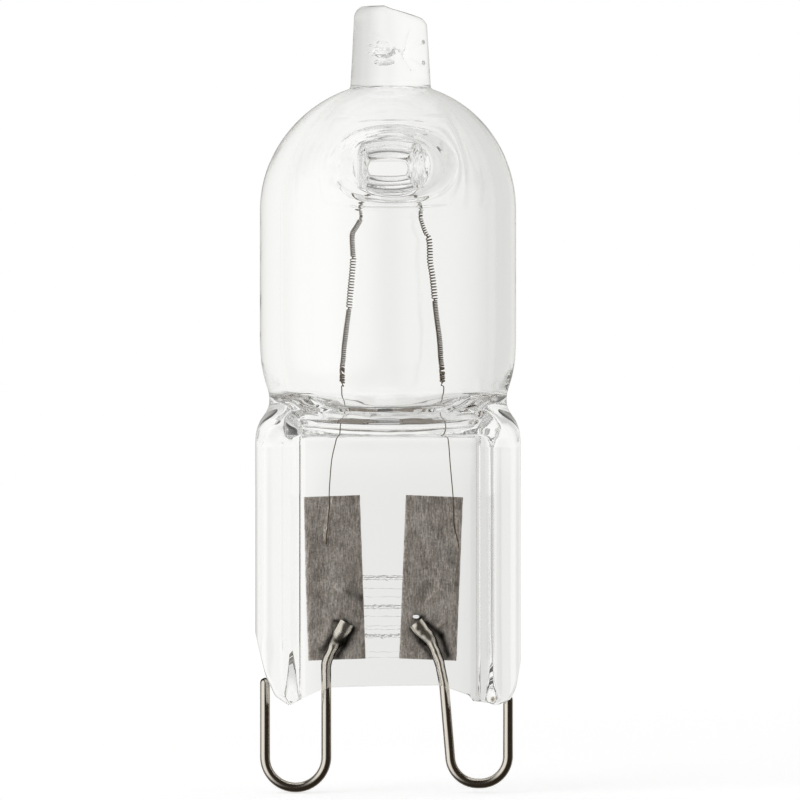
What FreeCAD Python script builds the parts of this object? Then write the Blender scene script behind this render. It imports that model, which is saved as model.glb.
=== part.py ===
import FreeCAD, Part
import math
import os
import Sketcher
from FreeCAD import Placement, Rotation, Vector

# Halogen capsule lamp: a fused quartz bulb with a press seal, two foils, two loop pins and one
# filament. Millimetres, +Z up, front towards -Y. The origin is midway between the two pin loops,
# at the level of the lowest loop.

# Driving dimensions: name, value, what it is
DIMENSIONS = (
    ("bulb_radius", 6.5, "outside radius of the quartz tube"),
    ("bulb_wall", 1.0, "wall of the tube"),
    ("shoulder_level", 22.4, "height where the tube starts to narrow to the seal"),
    ("dome_level", 29.55, "height where the dome starts"),
    ("dome_wall", 1.15, "wall of the dome"),
    ("tip_length", 3.85, "from the top of the dome up to the top of the drawn-off tip"),
    ("tip_foot_radius", 2.05, "radius of the tip where it leaves the dome"),
    ("tip_top_radius", 1.86, "radius of the tip at its top"),
    ("tip_shift", 0.13, "how far the tip stands to the right of the axis"),
    ("tip_fall", 14.5, "slope of the sheared side of the tip, degrees"),
    ("tip_round", 0.45, "rounding of the fire-polished top edge"),
    ("post_rise", 1.95, "from where the dome starts up to the glass post's axis"),
    ("post_shift", 0.13, "how far the post stands to the right of the axis"),
    ("post_radius", 1.52, "radius of the post at its thinnest, in the middle"),
    ("post_flare", 2.7, "radius of the post where it meets the inside of the bulb"),
    ("post_web", 0.9, "glass left between the floors of the two dimples"),
    ("dimple_mouth_width", 6.4, "width of each dimple at the outside"),
    ("dimple_mouth_height", 3.7, "height of each dimple at the outside"),
    ("dimple_floor_width", 2.07, "width of each dimple's floor"),
    ("dimple_floor_height", 0.78, "height of each dimple's floor"),
    ("dimple_floor_round", 0.26, "rounding of the floor's corners"),
    ("seal_level", 18.1, "height where the flat press seal starts"),
    ("seal_half_width", 6.74, "half width of the press seal"),
    ("waist_level", 19.9, "height of the narrowest place between bulb and seal"),
    ("waist_half_width", 6.04, "half width there"),
    ("rib_thickness", 4.8, "thickness of the seal's side ribs"),
    ("rib_round", 1.0, "rounding of the seal's outer edges"),
    ("panel_thickness", 2.8, "thickness of the seal's middle panel"),
    ("panel_width", 9.0, "width of the panel at its face"),
    ("panel_shift", 0.18, "how far the panel lies to the right of the axis"),
    ("panel_draft", 0.65, "how far each rib's inner flank leans back"),
    ("panel_foot", 5.42, "height of the panel's lower edge"),
    ("left_notch", 1.5, "from the panel's left side to where its lower edge turns down to the rib"),
    ("right_notch", 1.9, "from the panel's right side to where its lower edge turns down to the rib"),
    ("notch_lip", 0.6, "width of the small lip at the left notch"),
    ("cutting_margin", 1.0, "how far cutting solids reach past what they cut"),
    ("rib_foot", 4.46, "height of the ribs' lower ends"),
    ("left_chamfer_width", 1.74, "sheared lower left corner of the seal, across"),
    ("left_chamfer_height", 3.66, "sheared lower left corner of the seal, up"),
    ("right_chamfer_width", 1.15, "sheared lower right corner of the seal, across"),
    ("right_chamfer_height", 2.1, "sheared lower right corner of the seal, up"),
    ("chamfer_bow", 0.13, "share of each sheared corner's height left at its outward bow"),
    ("ridge_spacing", 1.48, "spacing of the jaw ridges on the panel's back"),
    ("ridge_top_level", 10.88, "height of the topmost jaw ridge"),
    ("ridge_length", 5.4, "length of a jaw ridge"),
    ("ridge_radius", 0.16, "radius of a jaw ridge"),
    ("cavity_floor", 18.9, "height of the floor of the gas space"),
    ("cavity_floor_half_width", 4.4, "half width of the gas space at its floor"),
    ("cavity_floor_half_depth", 0.5, "half depth of the gas space at its floor"),
    ("foil_width", 2.9, "width of a foil"),
    ("foil_length", 8.3, "length of a foil"),
    ("foil_thickness", 0.05, "thickness of a foil"),
    ("foil_feather", 0.1, "width of a foil's etched thin edge"),
    ("foil_level", 10.89, "height of the foils' centres"),
    ("left_foil_place", -2.73, "centre of the left foil across"),
    ("right_foil_place", 2.19, "centre of the right foil across"),
    ("left_foil_tilt", -2.0, "lean of the left foil, degrees"),
    ("right_foil_tilt", 2.3, "lean of the right foil, degrees"),
    ("pin_diameter", 0.5, "wire of the loop pins"),
    ("wire_stand_off", 0.02, "how far a round wire stands off the foil that its flattened end is welded to"),
    ("paddle_width", 0.74, "flattened end of a pin, across"),
    ("paddle_length", 1.0, "flattened end of a pin, along"),
    ("paddle_thickness", 0.3, "flattened end of a pin, thick"),
    ("left_outer_leg", -6.24, "centre of the left loop's outer leg"),
    ("left_inner_leg", -3.13, "centre of the left loop's inner leg"),
    ("left_free_end", 5.82, "height of the left loop's free end"),
    ("right_outer_leg", 6.09, "centre of the right loop's outer leg"),
    ("right_inner_leg", 3.27, "centre of the right loop's inner leg, low down"),
    ("right_leg_lean", 0.42, "how far the right inner leg leans in at the seal's foot"),
    ("right_free_end", 4.95, "height of the right loop's free end"),
    ("right_loop_lift", 0.2, "how much higher the right loop ends than the left"),
    ("knee_rise", 1.28, "from the seal's foot up to each pin's first bend"),
    ("knee_radius", 1.0, "inside the first bend of each pin"),
    ("bend_across", 0.43, "from the first bend in to the second"),
    ("bend_rise", 0.92, "from the first bend up to the second"),
    ("bend_radius", 0.7, "radius of the second bend of each pin"),
    ("end_across", 0.38, "from the second bend in to the end of the round wire"),
    ("end_rise", 0.52, "from the second bend up to the end of the round wire"),
    ("lean_radius", 2.0, "radius of the slight bend in the right inner leg"),
    ("filament_wire", 0.065, "tungsten wire of the filament"),
    ("coil_diameter", 0.234, "outside diameter of the filament's coils"),
    ("left_coil_top_place", -1.8, "top of the left coil across"),
    ("left_coil_middle_place", -1.83, "left coil across where its winding closes up"),
    ("left_coil_bottom_place", -2.38, "foot of the left coil across"),
    ("left_leg_place", -0.25, "left leg across from the middle of its foil"),
    ("right_coil_top_place", 2.05, "top of the right coil across"),
    ("right_coil_middle_place", 2.24, "right coil across where its winding closes up"),
    ("right_coil_bottom_place", 2.78, "foot of the right coil across"),
    ("right_leg_place", 1.1, "right leg across from the middle of its foil"),
    ("leg_on_foil", 2.5, "length of each leg that lies on its foil"),
    ("leg_spread", 0.13, "how far a leg's lower end leans outward"),
    ("floor_rise", 0.2, "height above the gas space's floor where a leg bends towards its coil"),
    ("leg_foot_width", 0.11, "flattened end of a filament leg, across"),
    ("leg_foot_length", 0.36, "flattened end of a filament leg, along"),
    ("leg_foot_thickness", 0.06, "flattened end of a filament leg, thick"),
    ("coil_pitch", 0.14, "spacing of the turns in the open-wound part"),
    ("coil_top", 28.3, "height where the coils start"),
    ("coil_open_end", 26.2, "height where the open winding turns into the close winding"),
    ("coil_bottom", 20.95, "height where the coils end"),
    ("bridge_gap", 0.01, "play between the bridge wire and the post"),
    ("bridge_drop", 2.2, "from the post's axis down to where the bridge wire leaves the coil"),
)

doc = FreeCAD.newDocument("HalogenCapsule")
sheet = doc.addObject("Spreadsheet::Sheet", "Sizes")
for row, (alias, value, note) in enumerate(DIMENSIONS, start=1):
    sheet.set("A%d" % row, note)
    sheet.set("B%d" % row, str(value))
    sheet.setAlias("B%d" % row, alias)
doc.recompute()


def size(alias):
    return float(sheet.get(alias))


def bound(kind, name, **expressions):
    """An object whose properties are tied to the sheet; '__' in a key stands for a dot."""
    made = doc.addObject(kind, name)
    for key, expression in expressions.items():
        made.setExpression(key.replace("__", "."), expression)
    return made


def cut(name, base, tool):
    made = doc.addObject("Part::Cut", name)
    made.Base = base
    made.Tool = tool
    return made


def fuse(name, pieces):
    made = doc.addObject("Part::MultiFuse", name)
    made.Shapes = pieces
    made.Refine = True
    return made


def shaped(name, shape):
    """An object that holds a shape made from the sheet's sizes."""
    made = doc.addObject("Part::Feature", name)
    made.Shape = shape
    return made


FRONT_VIEW = Placement(Vector(0, 0, 0), Rotation(Vector(1, 0, 0), 90))


def profile(name, corners, arc_after=None, arc_centre=None):
    """A closed sketch in the front view. Each corner is a pair of expressions for X and Z, or None
    where the arc decides it. The edge that follows corner number arc_after is an arc."""
    sketch = doc.addObject("Sketcher::SketchObject", name)
    sketch.Placement = FRONT_VIEW
    trial = doc.addObject("App::FeaturePython", name + "_start")
    for number, (across, up) in enumerate(corners):
        for axis, expression in (("across", across), ("up", up)):
            trial.addProperty("App::PropertyFloat", "%s%d" % (axis, number))
            if expression is not None:
                trial.setExpression("%s%d" % (axis, number), expression)
    if arc_centre:
        for axis, expression in zip(("across", "up"), arc_centre):
            trial.addProperty("App::PropertyFloat", axis + "Centre")
            trial.setExpression(axis + "Centre", expression)
    doc.recompute()
    start = [Vector(getattr(trial, "across%d" % n), getattr(trial, "up%d" % n), 0)
             for n in range(len(corners))]
    centre = None
    if arc_centre:
        centre = Vector(trial.acrossCentre, trial.upCentre, 0)
        free = (arc_after + 1) % len(corners)
        radius = start[arc_after].distanceToPoint(centre)
        start[free].y = centre.y + math.sqrt(radius ** 2 - (start[free].x - centre.x) ** 2)
    doc.removeObject(trial.Name)
    count = len(corners)
    for number in range(count):
        first, second = start[number], start[(number + 1) % count]
        if number == arc_after:
            radius = first.distanceToPoint(centre)
            circle = Part.Circle(centre, Vector(0, 0, 1), radius)
            angles = [math.atan2(p.y - centre.y, p.x - centre.x) for p in (first, second)]
            sketch.addGeometry(Part.ArcOfCircle(circle, angles[0], angles[1]), False)
        else:
            sketch.addGeometry(Part.LineSegment(first, second), False)
    for number in range(count):
        sketch.addConstraint(Sketcher.Constraint("Coincident", number, 2, (number + 1) % count, 1))
    if arc_centre:
        for kind, expression, place in (("DistanceX", arc_centre[0], centre.x),
                                        ("DistanceY", arc_centre[1], centre.y)):
            index = sketch.addConstraint(Sketcher.Constraint(kind, -1, 1, arc_after, 3, place))
            sketch.setExpression("Constraints[%d]" % index, expression)
    for number, (across, up) in enumerate(corners):
        for kind, expression, place in (("DistanceX", across, start[number].x),
                                        ("DistanceY", up, start[number].y)):
            if expression is None:
                continue
            if expression == "0":
                sketch.addConstraint(Sketcher.Constraint("PointOnObject", number, 1, -2))
                continue
            index = sketch.addConstraint(Sketcher.Constraint(kind, -1, 1, number, 1, place))
            sketch.setExpression("Constraints[%d]" % index, expression)
    return sketch


def revolved(name, sketch):
    made = doc.addObject("Part::Revolution", name)
    made.Source = sketch
    made.Axis = Vector(0, 0, 1)
    made.Angle = 360
    made.Solid = True
    return made


def section(centre, half_a, half_b, corner, axis_a, axis_b):
    """A closed wire: a rectangle of these half sides with rounded corners, nearly a circle when the
    corner is nearly as large as both."""
    edges = []
    for turn_a, turn_b in ((1, 1), (-1, 1), (-1, -1), (1, -1)):
        across, along = axis_a * turn_a, axis_b * turn_b
        if turn_a * turn_b < 0:
            across, along = along, across
            first_half, second_half = half_b, half_a
        else:
            first_half, second_half = half_a, half_b
        arc_centre = centre + across * (first_half - corner) + along * (second_half - corner)
        arc = Part.Arc(arc_centre + across * corner,
                       arc_centre + (across + along) * (corner * math.sqrt(0.5)),
                       arc_centre + along * corner)
        edges.append(arc.toShape())
        line_end = arc_centre + along * corner - across * 2 * (first_half - corner)
        edges.append(Part.LineSegment(arc_centre + along * corner, line_end).toShape())
    return Part.Wire(edges)


def ease(share):
    return share * share * (3 - 2 * share)


ACROSS, DEPTH, UP = Vector(1, 0, 0), Vector(0, 1, 0), Vector(0, 0, 1)

# Quartz tube and dome, outside

bulb_profile = profile(
    "bulb_profile",
    (("0", "Sizes.shoulder_level"),
     ("Sizes.bulb_radius", "Sizes.shoulder_level"),
     ("Sizes.bulb_radius", "Sizes.dome_level"),
     ("0", None)),
    arc_after=2, arc_centre=("0", "Sizes.dome_level"))
bulb = revolved("bulb", bulb_profile)

# Gas space in the tube and dome

DOME_CHORD_COUNT = 6
inner_dome = [("(Sizes.bulb_radius - Sizes.bulb_wall) * %.5f" % math.cos(math.pi / 2 * n / DOME_CHORD_COUNT),
               "Sizes.dome_level + (Sizes.bulb_radius - Sizes.dome_wall) * %.5f"
               % math.sin(math.pi / 2 * n / DOME_CHORD_COUNT)) for n in range(DOME_CHORD_COUNT)]
cavity_profile = profile(
    "cavity_profile",
    [("0", "Sizes.shoulder_level"), ("Sizes.bulb_radius - Sizes.bulb_wall", "Sizes.shoulder_level")]
    + inner_dome + [("0", "Sizes.dome_level + Sizes.bulb_radius - Sizes.dome_wall")])
cavity_top = revolved("cavity_top", cavity_profile)

# Shoulder: the round tube flows into the flat seal

SHOULDER_BAND_COUNT = 6
NEARLY_ROUND = 0.97


def shoulder_outside():
    top, bottom, waist = size("shoulder_level"), size("seal_level"), size("waist_level")
    wires = []
    for number in range(SHOULDER_BAND_COUNT + 1):
        share = number / SHOULDER_BAND_COUNT
        level = top + (bottom - top) * share
        if level > waist:
            start, goal, part = "bulb_radius", "waist_half_width", (top - level) / (top - waist)
        else:
            start, goal, part = "waist_half_width", "seal_half_width", (waist - level) / (waist - bottom)
        width = size(start) + (size(goal) - size(start)) * ease(part)
        depth = size("bulb_radius") + (size("rib_thickness") / 2 - size("bulb_radius")) * ease(share)
        corner = NEARLY_ROUND * min(width, depth)
        corner += (size("rib_round") - NEARLY_ROUND * size("rib_thickness") / 2) * ease(share)
        wires.append(section(Vector(0, 0, level), width, depth, corner, ACROSS, DEPTH))
    return Part.makeLoft(wires, True, True)


shoulder = shaped("shoulder", shoulder_outside())
CAVITY_BAND_COUNT = 3
CAVITY_NARROWING = 1.6
CAVITY_FLATTENING = 1.75


def cavity_bottom():
    top, bottom = size("shoulder_level"), size("cavity_floor")
    radius = size("bulb_radius") - size("bulb_wall")
    wires = []
    for number in range(CAVITY_BAND_COUNT + 1):
        share = number / CAVITY_BAND_COUNT
        width = radius + (size("cavity_floor_half_width") - radius) * share ** CAVITY_NARROWING
        depth = radius + (size("cavity_floor_half_depth") - radius) * share ** CAVITY_FLATTENING
        wires.append(section(Vector(0, 0, top + (bottom - top) * share), width, depth,
                             NEARLY_ROUND * depth, ACROSS, DEPTH))
    return Part.makeLoft(wires, True, True)


cavity_foot = shaped("cavity_foot", cavity_bottom())
cavity_space = fuse("cavity_space", [cavity_top, cavity_foot])

# Press seal: a block with rounded outer edges, trimmed to its front outline

seal_block = bound(
    "Part::Box", "seal_block",
    Length="Sizes.seal_half_width * 2", Width="Sizes.rib_thickness",
    Height="Sizes.seal_level - Sizes.rib_foot + Sizes.cutting_margin",
    Placement__Base__x="-Sizes.seal_half_width", Placement__Base__y="-Sizes.rib_thickness / 2",
    Placement__Base__z="Sizes.rib_foot - Sizes.cutting_margin")
doc.recompute()
seal_blank = doc.addObject("Part::Fillet", "seal_blank")
seal_blank.Base = seal_block
seal_blank.Edges = [(number, size("rib_round"), size("rib_round"))
                    for number, edge in enumerate(seal_block.Shape.Edges, start=1)
                    if edge.BoundBox.ZLength > edge.BoundBox.XLength + edge.BoundBox.YLength]
seal_outline = profile(
    "seal_outline",
    (("-Sizes.seal_half_width - Sizes.cutting_margin", "Sizes.seal_level + Sizes.cutting_margin"),
     ("-Sizes.seal_half_width - Sizes.cutting_margin", "Sizes.rib_foot + Sizes.left_chamfer_height"),
     ("-Sizes.seal_half_width", "Sizes.rib_foot + Sizes.left_chamfer_height"),
     ("-Sizes.seal_half_width + Sizes.left_chamfer_width / 3",
      "Sizes.rib_foot + Sizes.left_chamfer_height * Sizes.chamfer_bow * 3"),
     ("-Sizes.seal_half_width + Sizes.left_chamfer_width * 2 / 3",
      "Sizes.rib_foot + Sizes.left_chamfer_height * Sizes.chamfer_bow"),
     ("-Sizes.seal_half_width + Sizes.left_chamfer_width", "Sizes.rib_foot"),
     ("Sizes.panel_shift - Sizes.panel_width / 2 + Sizes.left_notch - Sizes.notch_lip",
      "Sizes.panel_foot - Sizes.notch_lip / 5"),
     ("Sizes.panel_shift - Sizes.panel_width / 2 + Sizes.left_notch", "Sizes.panel_foot"),
     ("Sizes.panel_shift + Sizes.panel_width / 2 - Sizes.right_notch", "Sizes.panel_foot"),
     ("Sizes.seal_half_width - Sizes.right_chamfer_width - Sizes.notch_lip * 2",
      "Sizes.rib_foot + Sizes.notch_lip / 3"),
     ("Sizes.seal_half_width - Sizes.right_chamfer_width", "Sizes.rib_foot"),
     ("Sizes.seal_half_width - Sizes.right_chamfer_width / 3",
      "Sizes.rib_foot + Sizes.right_chamfer_height * Sizes.chamfer_bow"),
     ("Sizes.seal_half_width", "Sizes.rib_foot + Sizes.right_chamfer_height"),
     ("Sizes.seal_half_width + Sizes.cutting_margin", "Sizes.rib_foot + Sizes.right_chamfer_height"),
     ("Sizes.seal_half_width + Sizes.cutting_margin", "Sizes.seal_level + Sizes.cutting_margin")))
outline_slab = bound("Part::Extrusion", "outline_slab",
                     LengthFwd="Sizes.rib_thickness + Sizes.cutting_margin * 2")
outline_slab.Base = seal_outline
outline_slab.Dir = DEPTH
outline_slab.DirMode = "Custom"
outline_slab.Symmetric = True
outline_slab.Solid = True
seal = doc.addObject("Part::Common", "seal")
seal.Base = seal_blank
seal.Tool = outline_slab


# Panel: a shallow pocket pressed into the front and the back of the seal


def panel_pocket(name, turn):
    pocket = bound(
        "Part::Wedge", name,
        Xmin="-Sizes.panel_width / 2 - Sizes.panel_draft * 2 + Sizes.panel_shift * %d" % turn,
        Xmax="Sizes.panel_width / 2 + Sizes.panel_draft * 2 + Sizes.panel_shift * %d" % turn,
        X2min="-Sizes.panel_width / 2 + Sizes.panel_shift * %d" % turn,
        X2max="Sizes.panel_width / 2 + Sizes.panel_shift * %d" % turn,
        Ymin="-Sizes.rib_thickness + Sizes.panel_thickness / 2",
        Ymax="-Sizes.panel_thickness / 2",
        Zmin="Sizes.rib_foot - Sizes.cutting_margin",
        Zmax="Sizes.seal_level + Sizes.panel_draft",
        Z2min="Sizes.rib_foot - Sizes.cutting_margin",
        Z2max="Sizes.seal_level")
    if turn < 0:
        pocket.Placement = Placement(Vector(0, 0, 0), Rotation(UP, 180))
    return pocket


front_pocket = panel_pocket("front_pocket", 1)
back_pocket = panel_pocket("back_pocket", -1)

# Jaw ridges across the back of the panel, behind the foils, each sunk in the glass by part of its radius

RIDGE_COUNT = 3
RIDGE_SUNK = 0.35
ridges = []
for number in range(RIDGE_COUNT):
    ridge = bound(
        "Part::Cylinder", "jaw_ridge_%d" % (number + 1),
        Radius="Sizes.ridge_radius", Height="Sizes.ridge_length",
        Placement__Base__x="-Sizes.ridge_length / 2",
        Placement__Base__y="Sizes.panel_thickness / 2 - Sizes.ridge_radius * %.2f" % RIDGE_SUNK,
        Placement__Base__z="Sizes.ridge_top_level - Sizes.ridge_spacing * %d" % number)
    ridge.Placement.Rotation = Rotation(DEPTH, 90)
    ridges.append(ridge)

# Exhaust tip: drawn off, sheared on one side and rounded by the flame

tip_cone = bound(
    "Part::Cone", "tip_cone",
    Radius1="Sizes.tip_foot_radius", Radius2="Sizes.tip_top_radius",
    Height="Sizes.tip_length + Sizes.dome_wall",
    Placement__Base__x="Sizes.tip_shift",
    Placement__Base__z="Sizes.dome_level + Sizes.bulb_radius - Sizes.dome_wall")
shear = bound(
    "Part::Box", "shear",
    Length="Sizes.tip_top_radius * 4", Width="Sizes.tip_foot_radius * 4", Height="Sizes.tip_top_radius * 2",
    Placement__Base__x="Sizes.tip_shift - Sizes.tip_top_radius / 4",
    Placement__Base__y="-Sizes.tip_foot_radius * 2",
    Placement__Base__z="Sizes.dome_level + Sizes.bulb_radius + Sizes.tip_length")
shear.setExpression("Placement.Rotation.Angle", "Sizes.tip_fall")
shear.Placement.Rotation = Rotation(DEPTH, size("tip_fall"))
sheared_tip = cut("sheared_tip", tip_cone, shear)
doc.recompute()
tip = doc.addObject("Part::Fillet", "tip")
tip.Base = sheared_tip
top_edges_above = size("dome_level") + size("bulb_radius") + size("tip_length") - size("tip_top_radius")
tip.Edges = [(number, size("tip_round"), size("tip_round"))
             for number, edge in enumerate(sheared_tip.Shape.Edges, start=1)
             if edge.BoundBox.ZMin > top_edges_above
             and edge.BoundBox.YLength > size("tip_top_radius")
             and edge.BoundBox.XLength > size("tip_round") / 4]

# Glass post across the gas space, and the two dimples that formed it

# each pair is a share of the way from the middle to the wall, and how much of the flare is there
POST_STEPS = ((0.12, 0.0), (0.6, 0.27), (1.1, 1.7))


def post_solid():
    reach = size("bulb_radius") - size("bulb_wall")
    centre = Vector(size("post_shift"), 0, size("dome_level") + size("post_rise"))
    wires = []
    for share, flare in tuple((-s, f) for s, f in reversed(POST_STEPS)) + POST_STEPS:
        radius = size("post_radius") + (size("post_flare") - size("post_radius")) * flare
        place = centre + DEPTH * (reach * share)
        wires.append(Part.Wire(Part.Circle(place, DEPTH, radius).toShape()))
    return Part.makeLoft(wires, True, True)


post = shaped("post", post_solid())

# each pair is a share of the way from the floor to the mouth, and how far the dimple has opened there
DIMPLE_STEPS = ((0.0, 0.0), (0.6, 0.3), (1.15, 1.3))
MOUTH_CORNER = 0.48


def dimple_solid(side):
    wires = []
    start = size("post_web") / 2
    reach = size("bulb_radius") - start
    centre = Vector(size("post_shift"), 0, size("dome_level") + size("post_rise"))
    for share, opened in DIMPLE_STEPS:
        width = size("dimple_floor_width") * (1 - opened) + size("dimple_mouth_width") * opened
        height = size("dimple_floor_height") * (1 - opened) + size("dimple_mouth_height") * opened
        corner = size("dimple_floor_round") * (1 - opened) + size("dimple_mouth_height") * MOUTH_CORNER * opened
        place = centre + DEPTH * (side * (start + reach * share))
        wires.append(section(place, width / 2, height / 2, corner, ACROSS, UP))
    return Part.makeLoft(wires, True, True)


front_dimple = shaped("front_dimple", dimple_solid(-1))
back_dimple = shaped("back_dimple", dimple_solid(1))

# Foils: thin strips with feathered long edges


def foil(side, name):
    body = doc.addObject("PartDesign::Body", name)
    sketch = body.newObject("Sketcher::SketchObject", name + "_section")
    plane = [p for p in body.Origin.OriginFeatures if p.Role == "XY_Plane"][0]
    sketch.AttachmentSupport = (plane, "")
    sketch.MapMode = "FlatFace"
    half, thick, feather = size("foil_width") / 2, size("foil_thickness") / 2, size("foil_feather")
    outline = ((-half, 0), (-half + feather, -thick), (half - feather, -thick),
               (half, 0), (half - feather, thick), (-half + feather, thick))
    outline_words = (("-Sizes.foil_width / 2", None),
                     ("-Sizes.foil_width / 2 + Sizes.foil_feather", "-Sizes.foil_thickness / 2"),
                     ("Sizes.foil_width / 2 - Sizes.foil_feather", "-Sizes.foil_thickness / 2"),
                     ("Sizes.foil_width / 2", None),
                     ("Sizes.foil_width / 2 - Sizes.foil_feather", "Sizes.foil_thickness / 2"),
                     ("-Sizes.foil_width / 2 + Sizes.foil_feather", "Sizes.foil_thickness / 2"))
    count = len(outline)
    for number in range(count):
        first, second = outline[number], outline[(number + 1) % count]
        sketch.addGeometry(Part.LineSegment(Vector(*first, 0), Vector(*second, 0)), False)
    for number in range(count):
        sketch.addConstraint(Sketcher.Constraint("Coincident", number, 2, (number + 1) % count, 1))
    for number, (across, deep) in enumerate(outline_words):
        index = sketch.addConstraint(Sketcher.Constraint("DistanceX", -1, 1, number, 1, outline[number][0]))
        sketch.setExpression("Constraints[%d]" % index, across)
        if deep is None:
            sketch.addConstraint(Sketcher.Constraint("PointOnObject", number, 1, -1))
        else:
            index = sketch.addConstraint(Sketcher.Constraint("DistanceY", -1, 1, number, 1, outline[number][1]))
            sketch.setExpression("Constraints[%d]" % index, deep)
    pad = body.newObject("PartDesign::Pad", name + "_strip")
    pad.Profile = sketch
    pad.Midplane = True
    pad.setExpression("Length", "Sizes.foil_length")
    body.Tip = pad
    body.Placement.Rotation = Rotation(DEPTH, size(side + "_foil_tilt"))
    body.setExpression("Placement.Base.x", "Sizes.%s_foil_place" % side)
    body.setExpression("Placement.Base.z", "Sizes.foil_level")
    return body


foil_left = foil("left", "foil_left")
foil_right = foil("right", "foil_right")


# Wires: straight runs joined by tangent arcs, all in one plane


def bent_wire(points, radii, diameter):
    """A round wire along straight runs, with an arc of the given radius at each inner point."""
    edges = []
    start = points[0]
    for number in range(1, len(points) - 1):
        corner = points[number]
        back = (points[number - 1] - corner).normalize()
        onward = (points[number + 1] - corner).normalize()
        half = back.getAngle(onward) / 2
        setback = radii[number - 1] / math.tan(half)
        first, last = corner + back * setback, corner + onward * setback
        middle_line = (back + onward).normalize()
        middle = corner + middle_line * (radii[number - 1] / math.sin(half) - radii[number - 1])
        if start.distanceToPoint(first) > 1e-4:
            edges.append(Part.LineSegment(start, first).toShape())
        edges.append(Part.Arc(first, middle, last).toShape())
        start = last
    edges.append(Part.LineSegment(start, points[-1]).toShape())
    path = Part.Wire(edges)
    ring = Part.Wire(Part.Circle(points[0], (points[1] - points[0]), diameter / 2).toShape())
    return path.makePipeShell([ring], True, False)


def flat_end(place, direction, length, width, thickness):
    """A wire's flattened end, lying on the front of a foil."""
    outline = section(Vector(0, 0, 0), length / 2, width / 2, width / 3, ACROSS, DEPTH)
    plate = Part.Face(outline).extrude(Vector(0, 0, thickness))
    plate.Placement = Placement(Vector(place.x, -size("foil_thickness") / 2, place.z),
                                Rotation(ACROSS, direction)) * Placement(Vector(), Rotation(ACROSS, 90))
    return plate


# The leaning leg meets its loop at a blunt angle, so its arc is a little tighter
LEANING_LOOP = 0.93
FREE_END_SHARE = 0.6


def pin(side):
    """One loop pin: flattened end on the foil, bend, inner leg, loop, outer leg, blunted free end."""
    radius = size("pin_diameter") / 2
    plane = -(size("foil_thickness") / 2 + radius + size("wire_stand_off"))
    outer, inner = size(side + "_outer_leg"), size(side + "_inner_leg")
    inward = 1 if side == "left" else -1
    lean = size("right_leg_lean") if side == "right" else 0.0
    low = radius + (size("right_loop_lift") if side == "right" else 0.0)
    loop = abs(outer - inner) / 2
    seal_point = Vector(inner + inward * lean, plane, size("panel_foot"))
    knee = seal_point + Vector(inward * lean / 2, 0, size("knee_rise"))
    bend = knee + Vector(inward * size("bend_across"), 0, size("bend_rise"))
    end = bend + Vector(inward * size("end_across"), 0, size("end_rise"))
    points = [end, bend, knee, Vector(inner, plane, low), Vector(outer, plane, low),
              Vector(outer, plane, size(side + "_free_end") - radius / 2)]
    radii = [size("bend_radius"), size("knee_radius"), loop, loop]
    if lean:
        points.insert(3, seal_point)
        radii[2:3] = [size("lean_radius"), loop * LEANING_LOOP]
    wire = bent_wire(points, radii, size("pin_diameter"))
    free_end = Part.makeCone(radius, radius * FREE_END_SHARE, radius / 2, points[-1], UP)
    direction = (end - bend).normalize()
    place = end + direction * (size("paddle_length") / 2 - radius)
    paddle = flat_end(place, direction, size("paddle_length"), size("paddle_width"), size("paddle_thickness"))
    return wire.fuse([free_end, paddle]).removeSplitter()


contact_pin_left = shaped("contact_pin_left", pin("left"))
contact_pin_right = shaped("contact_pin_right", pin("right"))


# Filament: leg, close winding, open winding, bridge over the post, and the same down the other side

TURN_STEP_COUNT = 8
POST_STEP_COUNT = 14
EASE_STEP_COUNT = 4
# The four corners stand out a little, so that the sides enclose about as much as the round wire
WIRE_CORNER = size("filament_wire") * 0.56
WIRE_PLANE = -(size("foil_thickness") / 2 + WIRE_CORNER + size("wire_stand_off"))
POST_RIDE = size("post_radius") + WIRE_CORNER + size("bridge_gap")


def in_plane(across, up):
    return Vector(across, WIRE_PLANE, up)


def fine_wire(points):
    """A wire of four sides through a list of points; its sides keep their direction along it."""
    runs = [(after - before).normalize() for before, after in zip(points, points[1:])]
    rings = []
    side = DEPTH
    heading = runs[0]
    for number, point in enumerate(points):
        next_heading = (runs[max(number - 1, 0)] + runs[min(number, len(runs) - 1)]).normalize()
        side = Rotation(heading, next_heading).multVec(side)
        heading = next_heading
        other = heading.cross(side)
        corners = [point + side * WIRE_CORNER, point + other * WIRE_CORNER,
                   point - side * WIRE_CORNER, point - other * WIRE_CORNER]
        rings.append(Part.makePolygon(corners + corners[:1]))
    return Part.makeLoft(rings, True, True)


# Share of the way across from foil to coil that a leg has covered when it leaves the glass
LEG_LEAN = 0.85


def leg_points(side):
    """From the end on the foil, up through the seal to the foot of the coil."""
    outward = -1 if side == "left" else 1
    foil_place = size(side + "_foil_place") + size(side + "_leg_place")
    foil_top = size("foil_level") + size("foil_length") / 2
    foot = in_plane(foil_place + outward * size("leg_spread"), foil_top - size("leg_on_foil"))
    edge = in_plane(foil_place, foil_top)
    coil_foot = in_plane(size(side + "_coil_bottom_place"), size("coil_bottom"))
    floor_point = in_plane(foil_place + (coil_foot.x - foil_place) * LEG_LEAN,
                           size("cavity_floor") + size("floor_rise"))
    return [foot, edge, floor_point, coil_foot]


def leg_foot(points):
    """The leg's flattened end, welded to the foil."""
    down = (points[0] - points[1]).normalize()
    return flat_end(points[0] + down * size("leg_foot_length") / 3, down, size("leg_foot_length"),
                    size("leg_foot_width"), size("leg_foot_thickness"))


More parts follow.
